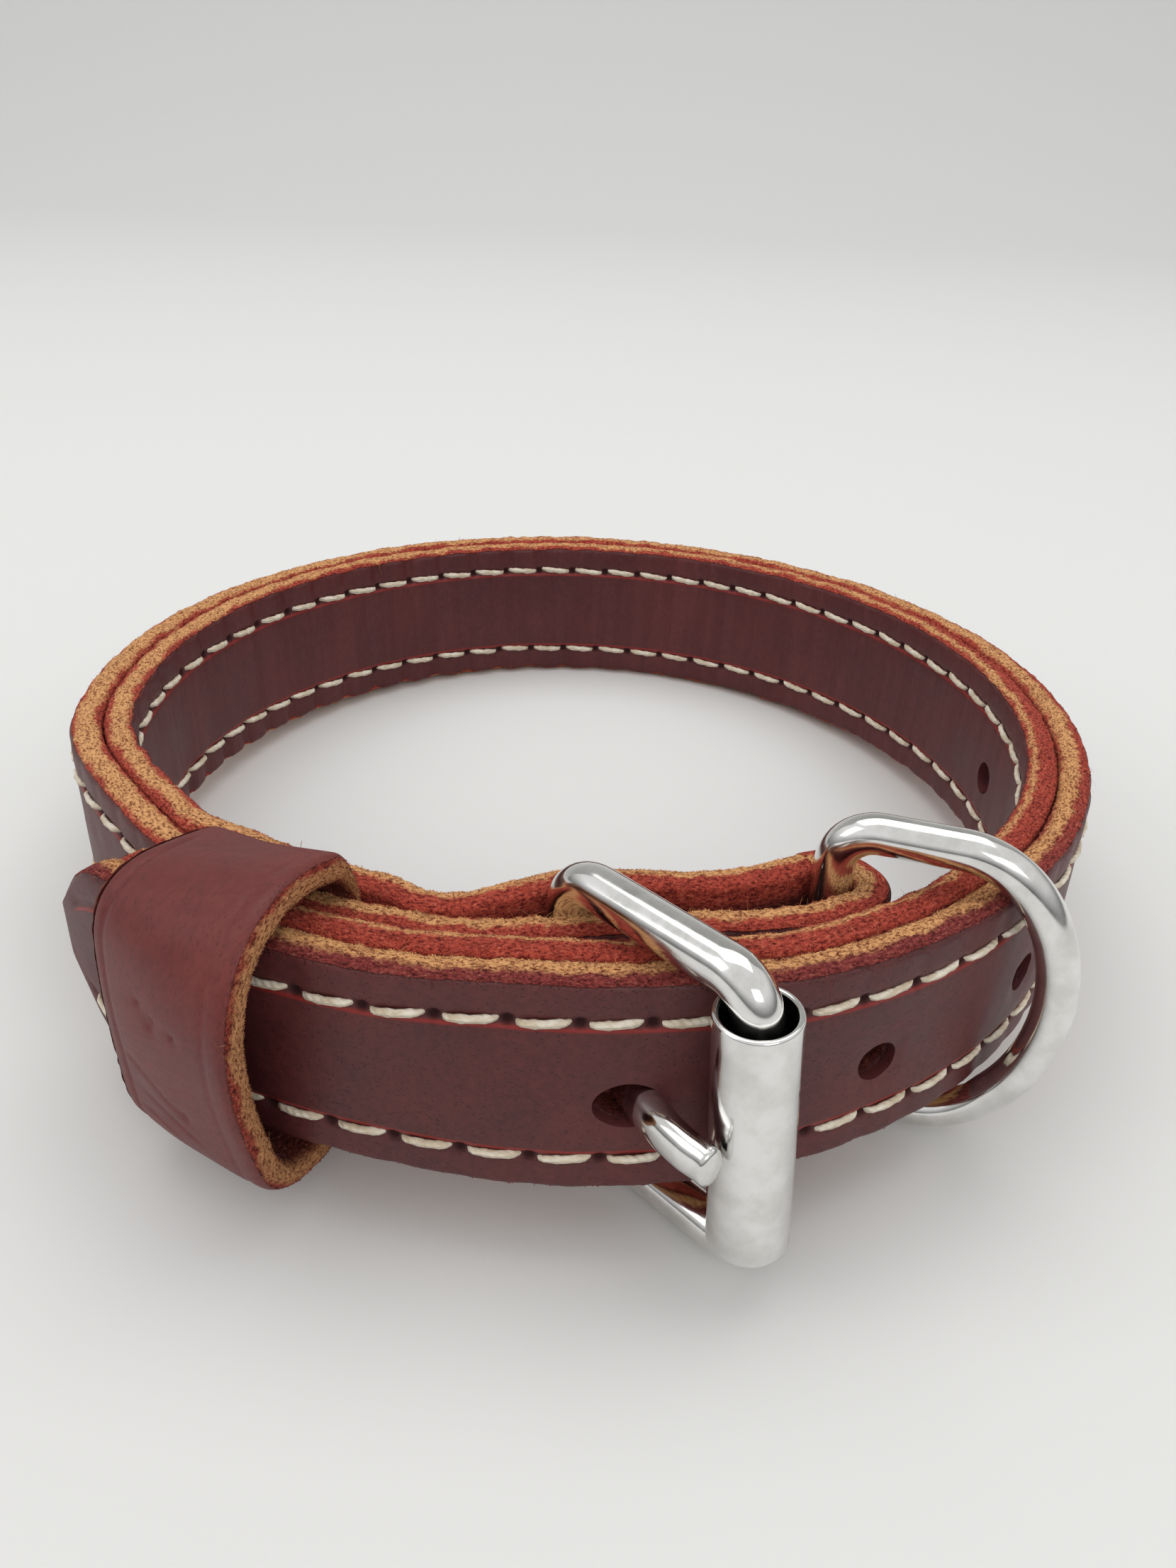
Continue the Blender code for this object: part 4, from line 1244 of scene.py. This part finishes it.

# %% [markdown]
# The raw edge runs through the ply: tan in its core, red where the dye crept in from the faces, and
# older and duller at the front. The mesh says where the core lies and how far the red has crept.
# Deep between the plies it is painted dark, as painted shade. Fine strands, stretched along the
# strap, make it furry.

# %% Raw edge
TAN, RED, OLD_RED = paint(238, 178, 118), paint(192, 78, 60), paint(146, 60, 56)
edge_group, edge, given, gives = group_of(
    "raw_edge", [("Place", "Vector"), ("Dye", "Vector")], [("Color", "Color"), ("Height", "Float")])
place, spread = given["Place"], edge.parts(given["Dye"])
through = edge.times(edge.parts(place)["Y"], 500.0)
inside = edge.ranged(edge.math("ABSOLUTE", edge.parts(place)["Z"]), 0.0085, 0.0110, 1.0, 0.0)
felt = edge.noise(place, 1500.0, 4.0, 0.7)
cloud = edge.noise(place, 230.0, 3.0, 0.6)
wander = edge.plus(edge.times(edge.minus(felt, 0.5), 0.9), edge.times(edge.minus(cloud, 0.5), 1.3))
from_core = edge.math("ABSOLUTE", edge.minus(edge.plus(through, wander), spread["X"]))
red = edge.ranged(edge.plus(from_core, spread["Y"]), 0.30, 0.72)
colour = edge.mix(red, TAN, edge.mix(spread["Z"], RED, OLD_RED))
# painted shade: away from the edges, between the plies and under the keeper, the raw side is darkened
colour = edge.mix(inside, colour, paint(110, 40, 30))
strand = edge.noise(edge.mapped(place, (0.6, 1, 1)), 3300.0, 4.0, 0.75)
dark = edge.ranged(strand, 0.36, 0.56, 1.0, 0.0)
bright = edge.ranged(strand, 0.56, 0.70, 0.0, 0.5)
colour = edge.mix(dark, colour, edge.mix(1.0, colour, paint(128, 70, 54), "MULTIPLY"))
colour = edge.mix(bright, colour, edge.mix(0.5, colour, paint(250, 206, 160)))
edge.fill(gives["Color"], colour)
edge.fill(gives["Height"], edge.plus(edge.times(felt, 0.6), edge.times(strand, 0.9)))
print("raw edge:", len(edge_group.nodes), "nodes")

# %% [markdown]
# ## Leather materials
#
# A leather mixes the two groups by how much of the grain face is left. The seam's channel has a red
# lip towards the middle of the strap, and the needle holes are painted nearly black as painted shade
# and have no gloss.

# %% Leathers
LIP_PLACE, LIP_WIDTH = 0.78 * MM, 0.4 * MM


def placed(recipe, group):
    """A group's node that reads the place on the unbent strap."""
    node = recipe.add("Group")
    node.node_tree = group
    recipe.fill(node.inputs["Place"], recipe.read("lie"))
    if group is edge_group:
        recipe.fill(node.inputs["Dye"], recipe.read("dye"))
    return node


def seam_colours(recipe, colour, rough):
    """The grain face with the red lip of the seam's channel and painted shade in its needle holes."""
    to_hole, to_row, sewn = recipe.parts(recipe.read("seam"))
    off = recipe.math("ABSOLUTE", recipe.plus(to_row, LIP_PLACE))
    lip = recipe.times(recipe.ranged(off, 0.0, LIP_WIDTH, 1.0, 0.0), sewn)
    colour = recipe.mix(recipe.times(lip, 0.8), colour, paint(150, 42, 36))
    flat = recipe.add("CombineXYZ", {"X": to_hole, "Y": to_row}).outputs["Vector"]
    away = recipe.add("VectorMath", {0: flat}, operation="LENGTH").outputs["Value"]
    # painted shade: the colour darkens to near black around each needle hole
    pit_shade = recipe.times(recipe.ranged(away, 0.3 * MM, 1.0 * MM, 1.0, 0.0), sewn)
    colour = recipe.mix(recipe.times(pit_shade, 0.9), colour, paint(40, 12, 10))
    return colour, recipe.mix_number(pit_shade, rough, 0.95)


def leather_of(name, deep, light, pores, wrinkles, sewn=True):
    """A leather from the two groups, mixed by the grain mask with a ragged border."""
    mat, recipe, shader = finish_of(name)
    top, raw = placed(recipe, face_group), placed(recipe, edge_group)
    for key, value in (("Deep", deep), ("Light", light), ("Pores", pores), ("Wrinkles", wrinkles)):
        top.inputs[key].default_value = value
    colour, rough = top.outputs["Color"], top.outputs["Roughness"]
    if sewn:
        colour, rough = seam_colours(recipe, colour, rough)
    border = recipe.minus(recipe.noise(recipe.read("lie"), 1100.0, 4.0, 0.7), 0.5)
    worn = recipe.ranged(recipe.plus(recipe.read("grain", "Fac"), recipe.times(border, 0.5)), 0.42, 0.62)
    recipe.fill(shader.inputs["Base Color"], recipe.mix(worn, raw.outputs["Color"], colour))
    recipe.fill(shader.inputs["Roughness"], recipe.mix_number(worn, 0.95, rough))
    shader.inputs["Specular IOR Level"].default_value = 0.36
    fur_height = recipe.times(raw.outputs["Height"], 6.0)
    recipe.relief(shader, recipe.mix_number(worn, fur_height, top.outputs["Height"]), 0.00007)
    return mat


outer_leather = leather_of("outer_leather", paint(66, 28, 30), paint(102, 49, 47), 0.8, 0.0)
inner_leather = leather_of("inner_leather", paint(70, 28, 31), paint(104, 48, 48), 0.35, 0.8)
keeper_leather = leather_of("keeper_leather", paint(86, 30, 29), paint(120, 52, 48), 0.4, 0.25, False)
print("leathers:", outer_leather.name, inner_leather.name, keeper_leather.name)

# %% [markdown]
# ## Hole walls, fur and thread
#
# The wall of a punched hole is red felt, painted dark for the shade deep in the hole. Each hair takes
# the colour of the raw edge it grows from, a little lighter or darker than its neighbours. The thread
# is waxed cream linen with darker lines between its strands.

# %% Small finishes
shaded_hole_wall, recipe, shader = finish_of("shaded_hole_wall", 0.9)
fibre = recipe.noise(recipe.add("TexCoord").outputs["Object"], 2500.0, 3.0)
# painted shade: the red felt of the wall is kept dark, as the shade inside the hole
recipe.fill(shader.inputs["Base Color"], recipe.mix(fibre, paint(44, 14, 12), paint(96, 34, 26)))

edge_fur, recipe, shader = finish_of("edge_fur", 0.9)
tone = recipe.mix(recipe.read("shade", "Fac"), (0.7, 0.7, 0.7, 1), (1.25, 1.2, 1.15, 1))
grown = placed(recipe, edge_group).outputs["Color"]
recipe.fill(shader.inputs["Base Color"], recipe.mix(1.0, grown, tone, "MULTIPLY"))

thread, recipe, shader = finish_of("waxed_thread", 0.6)
lie = recipe.read("lie")
wax = recipe.ranged(recipe.noise(lie, 500.0, 3.0), 0.3, 0.7)
recipe.fill(shader.inputs["Base Color"], recipe.mix(wax, paint(206, 188, 160), paint(242, 232, 214)))
along, around, _ = recipe.parts(lie)
twist = recipe.plus(recipe.times(along, 7000.0), recipe.times(around, 2000.0))
strands = recipe.plus(recipe.times(recipe.math("SINE", twist), 0.5), recipe.noise(lie, 3000.0, 3.0))
recipe.relief(shader, strands, 0.00009, 0.8)
print("small finishes:", shaded_hole_wall.name, edge_fur.name, thread.name)

# %% [markdown]
# ## Polished steel
#
# The hardware is polished steel wire. It mirrors the studio, so it needs little colour of its own:
# a slightly uneven polish and faint drawing lines keep it from looking like new chrome.

# %% Steel
steel, recipe, shader = finish_of("polished_steel", metallic=1.0)
place = recipe.add("TexCoord").outputs["Object"]
smear = recipe.noise(place, 260.0, 4.0, 0.6)
scratch = recipe.noise(recipe.mapped(place, (1.0, 1.0, 0.12)), 2600.0, 3.0, 0.7)
shine = recipe.mix(recipe.ranged(smear, 0.3, 0.7), paint(214, 213, 210), paint(236, 235, 233))
recipe.fill(shader.inputs["Base Color"], shine)
recipe.fill(shader.inputs["Roughness"], recipe.ranged(smear, 0.25, 0.75, 0.07, 0.17))
recipe.relief(shader, recipe.plus(smear, recipe.times(scratch, 0.2)), 0.000012, 0.5)

# %% Give each piece its finish
def dress(finish, *pieces):
    """Puts a finish in the pieces' first slot."""
    for obj in pieces:
        obj.data.materials.clear()
        obj.data.materials.append(finish)


dress(outer_leather, outer_ply)
dress(inner_leather, inner_ply)
outer_ply.data.materials.append(shaded_hole_wall)
inner_ply.data.materials.append(shaded_hole_wall)
dress(keeper_leather, keeper)
dress(edge_fur, *fur)
dress(thread, outer_seam, inner_seam)
dress(steel, buckle_frame, d_ring, roller, tongue, tongue_eye)
print("materials:", [m.name for m in bpy.data.materials])

# %% [markdown]
# ## Floor and light
#
# The object stands on a pale sweep of paper. The floor rises behind it in one curve, so there is no
# horizon.

# %% Stage
def sweep():
    """Grid of the paper: flat in front, then a quarter circle up to a wall."""
    t = np.linspace(0, 1, 60)
    flat = np.stack([-1.2 + 1.9 * t, 0 * t], axis=-1)
    a = np.linspace(0, math.pi / 2, 30)[1:]
    curve = np.stack([0.7 + 0.6 * np.sin(a), 0.6 - 0.6 * np.cos(a)], axis=-1)
    wall = np.stack([np.full(10, 1.3), np.linspace(0.65, 2.2, 10)], axis=-1)
    line = np.concatenate([flat, curve, wall])
    x = np.linspace(-2.0, 2.0, 20)
    return np.stack([np.broadcast_to(x[None, :], (len(line), 20)),
                     np.broadcast_to(line[:, :1], (len(line), 20)),
                     np.broadcast_to(line[:, 1:], (len(line), 20))], axis=-1)


grid = sweep()
rows, cols = grid.shape[:2]
index = np.arange(rows * cols).reshape(rows, cols)
quads = np.stack([index[:-1, :-1], index[:-1, 1:], index[1:, 1:], index[1:, :-1]], axis=-1).reshape(-1, 4)
paper = linked("paper", smooth_mesh("paper", grid.reshape(-1, 3), quads.tolist()))
paper_finish, _, shader = finish_of("pale_paper", 0.9)
shader.inputs["Base Color"].default_value = paint(226, 226, 224)
paper.data.materials.append(paper_finish)


def stand(obj, side, top, back, place):
    """Puts a light or a camera at a place, with its own axes X, Y and Z along side, top and back."""
    turn = np.eye(4)
    turn[:3] = np.column_stack([side, top, back, place])
    obj.matrix_world = Matrix(turn.tolist())


def soft_light(name, place, aim, size, watts):
    """A rectangular area light at a place, turned towards an aim."""
    light = bpy.data.lights.new(name, "AREA")
    light.shape = "RECTANGLE"
    light.size, light.size_y = size
    light.energy = watts
    way = unit(np.subtract(aim, place))
    side = unit(np.cross(way, (0, 0, 1)))
    stand(linked(name, light), side, np.cross(side, way), -way, place)


soft_light("overhead", (0.0, 0.22, 0.85), (0, 0.0, 0), (1.0, 0.6), 2.9)
soft_light("left_window", (-0.75, -0.2, 0.6), (0, 0, 0.02), (0.4, 0.5), 0.7)
soft_light("front_fill", (0.35, -0.8, 0.6), (0, 0, 0.02), (0.5, 0.3), 1.2)
world = bpy.data.worlds.new("studio")
bpy.context.scene.world = world
world.use_nodes = True
background = world.node_tree.nodes["Background"].inputs
sky = Recipe(world.node_tree)
height = sky.parts(sky.add("TexCoord").outputs["Generated"])["Z"]
seen = sky.add("LightPath").outputs["Is Camera Ray"]
sky.fill(background["Strength"], sky.mix_number(seen, sky.ranged(height, -0.1, 0.5, 0.10, 0.80), 0.75))
background["Color"].default_value = (1, 1, 1, 1)
bpy.context.scene.view_settings.view_transform = "Standard"

# %% [markdown]
# ## Camera
#
# The camera looks down on the collar from just in front of it, close by, so the front is much
# larger than the back. Its place is written in the collar's own plane and carried along when the
# collar is stood up.

# %% Camera
PITCH, ROLL = math.radians(28.8), math.radians(2.4)
eye_place = stood(np.array([1.5, -158.5, 95.63]) * MM)
ahead = turned_way(np.array([0.0, math.cos(PITCH), -math.sin(PITCH)]))
above = turned_way(np.array([0.0, math.sin(PITCH), math.cos(PITCH)]))
aside = turned_way(np.array([1.0, 0.0, 0.0]))
right = math.cos(ROLL) * aside + math.sin(ROLL) * above
over = math.cos(ROLL) * above - math.sin(ROLL) * aside
camera = bpy.data.cameras.new("camera")
camera.sensor_fit = "VERTICAL"
camera.sensor_height = 36.0
camera.lens = 36.0 * 1660 / 2212
camera.clip_start = 0.01
view = linked("camera", camera)
stand(view, right, over, -ahead, eye_place)
bpy.context.scene.camera = view
print("camera at", eye_place.round(4))
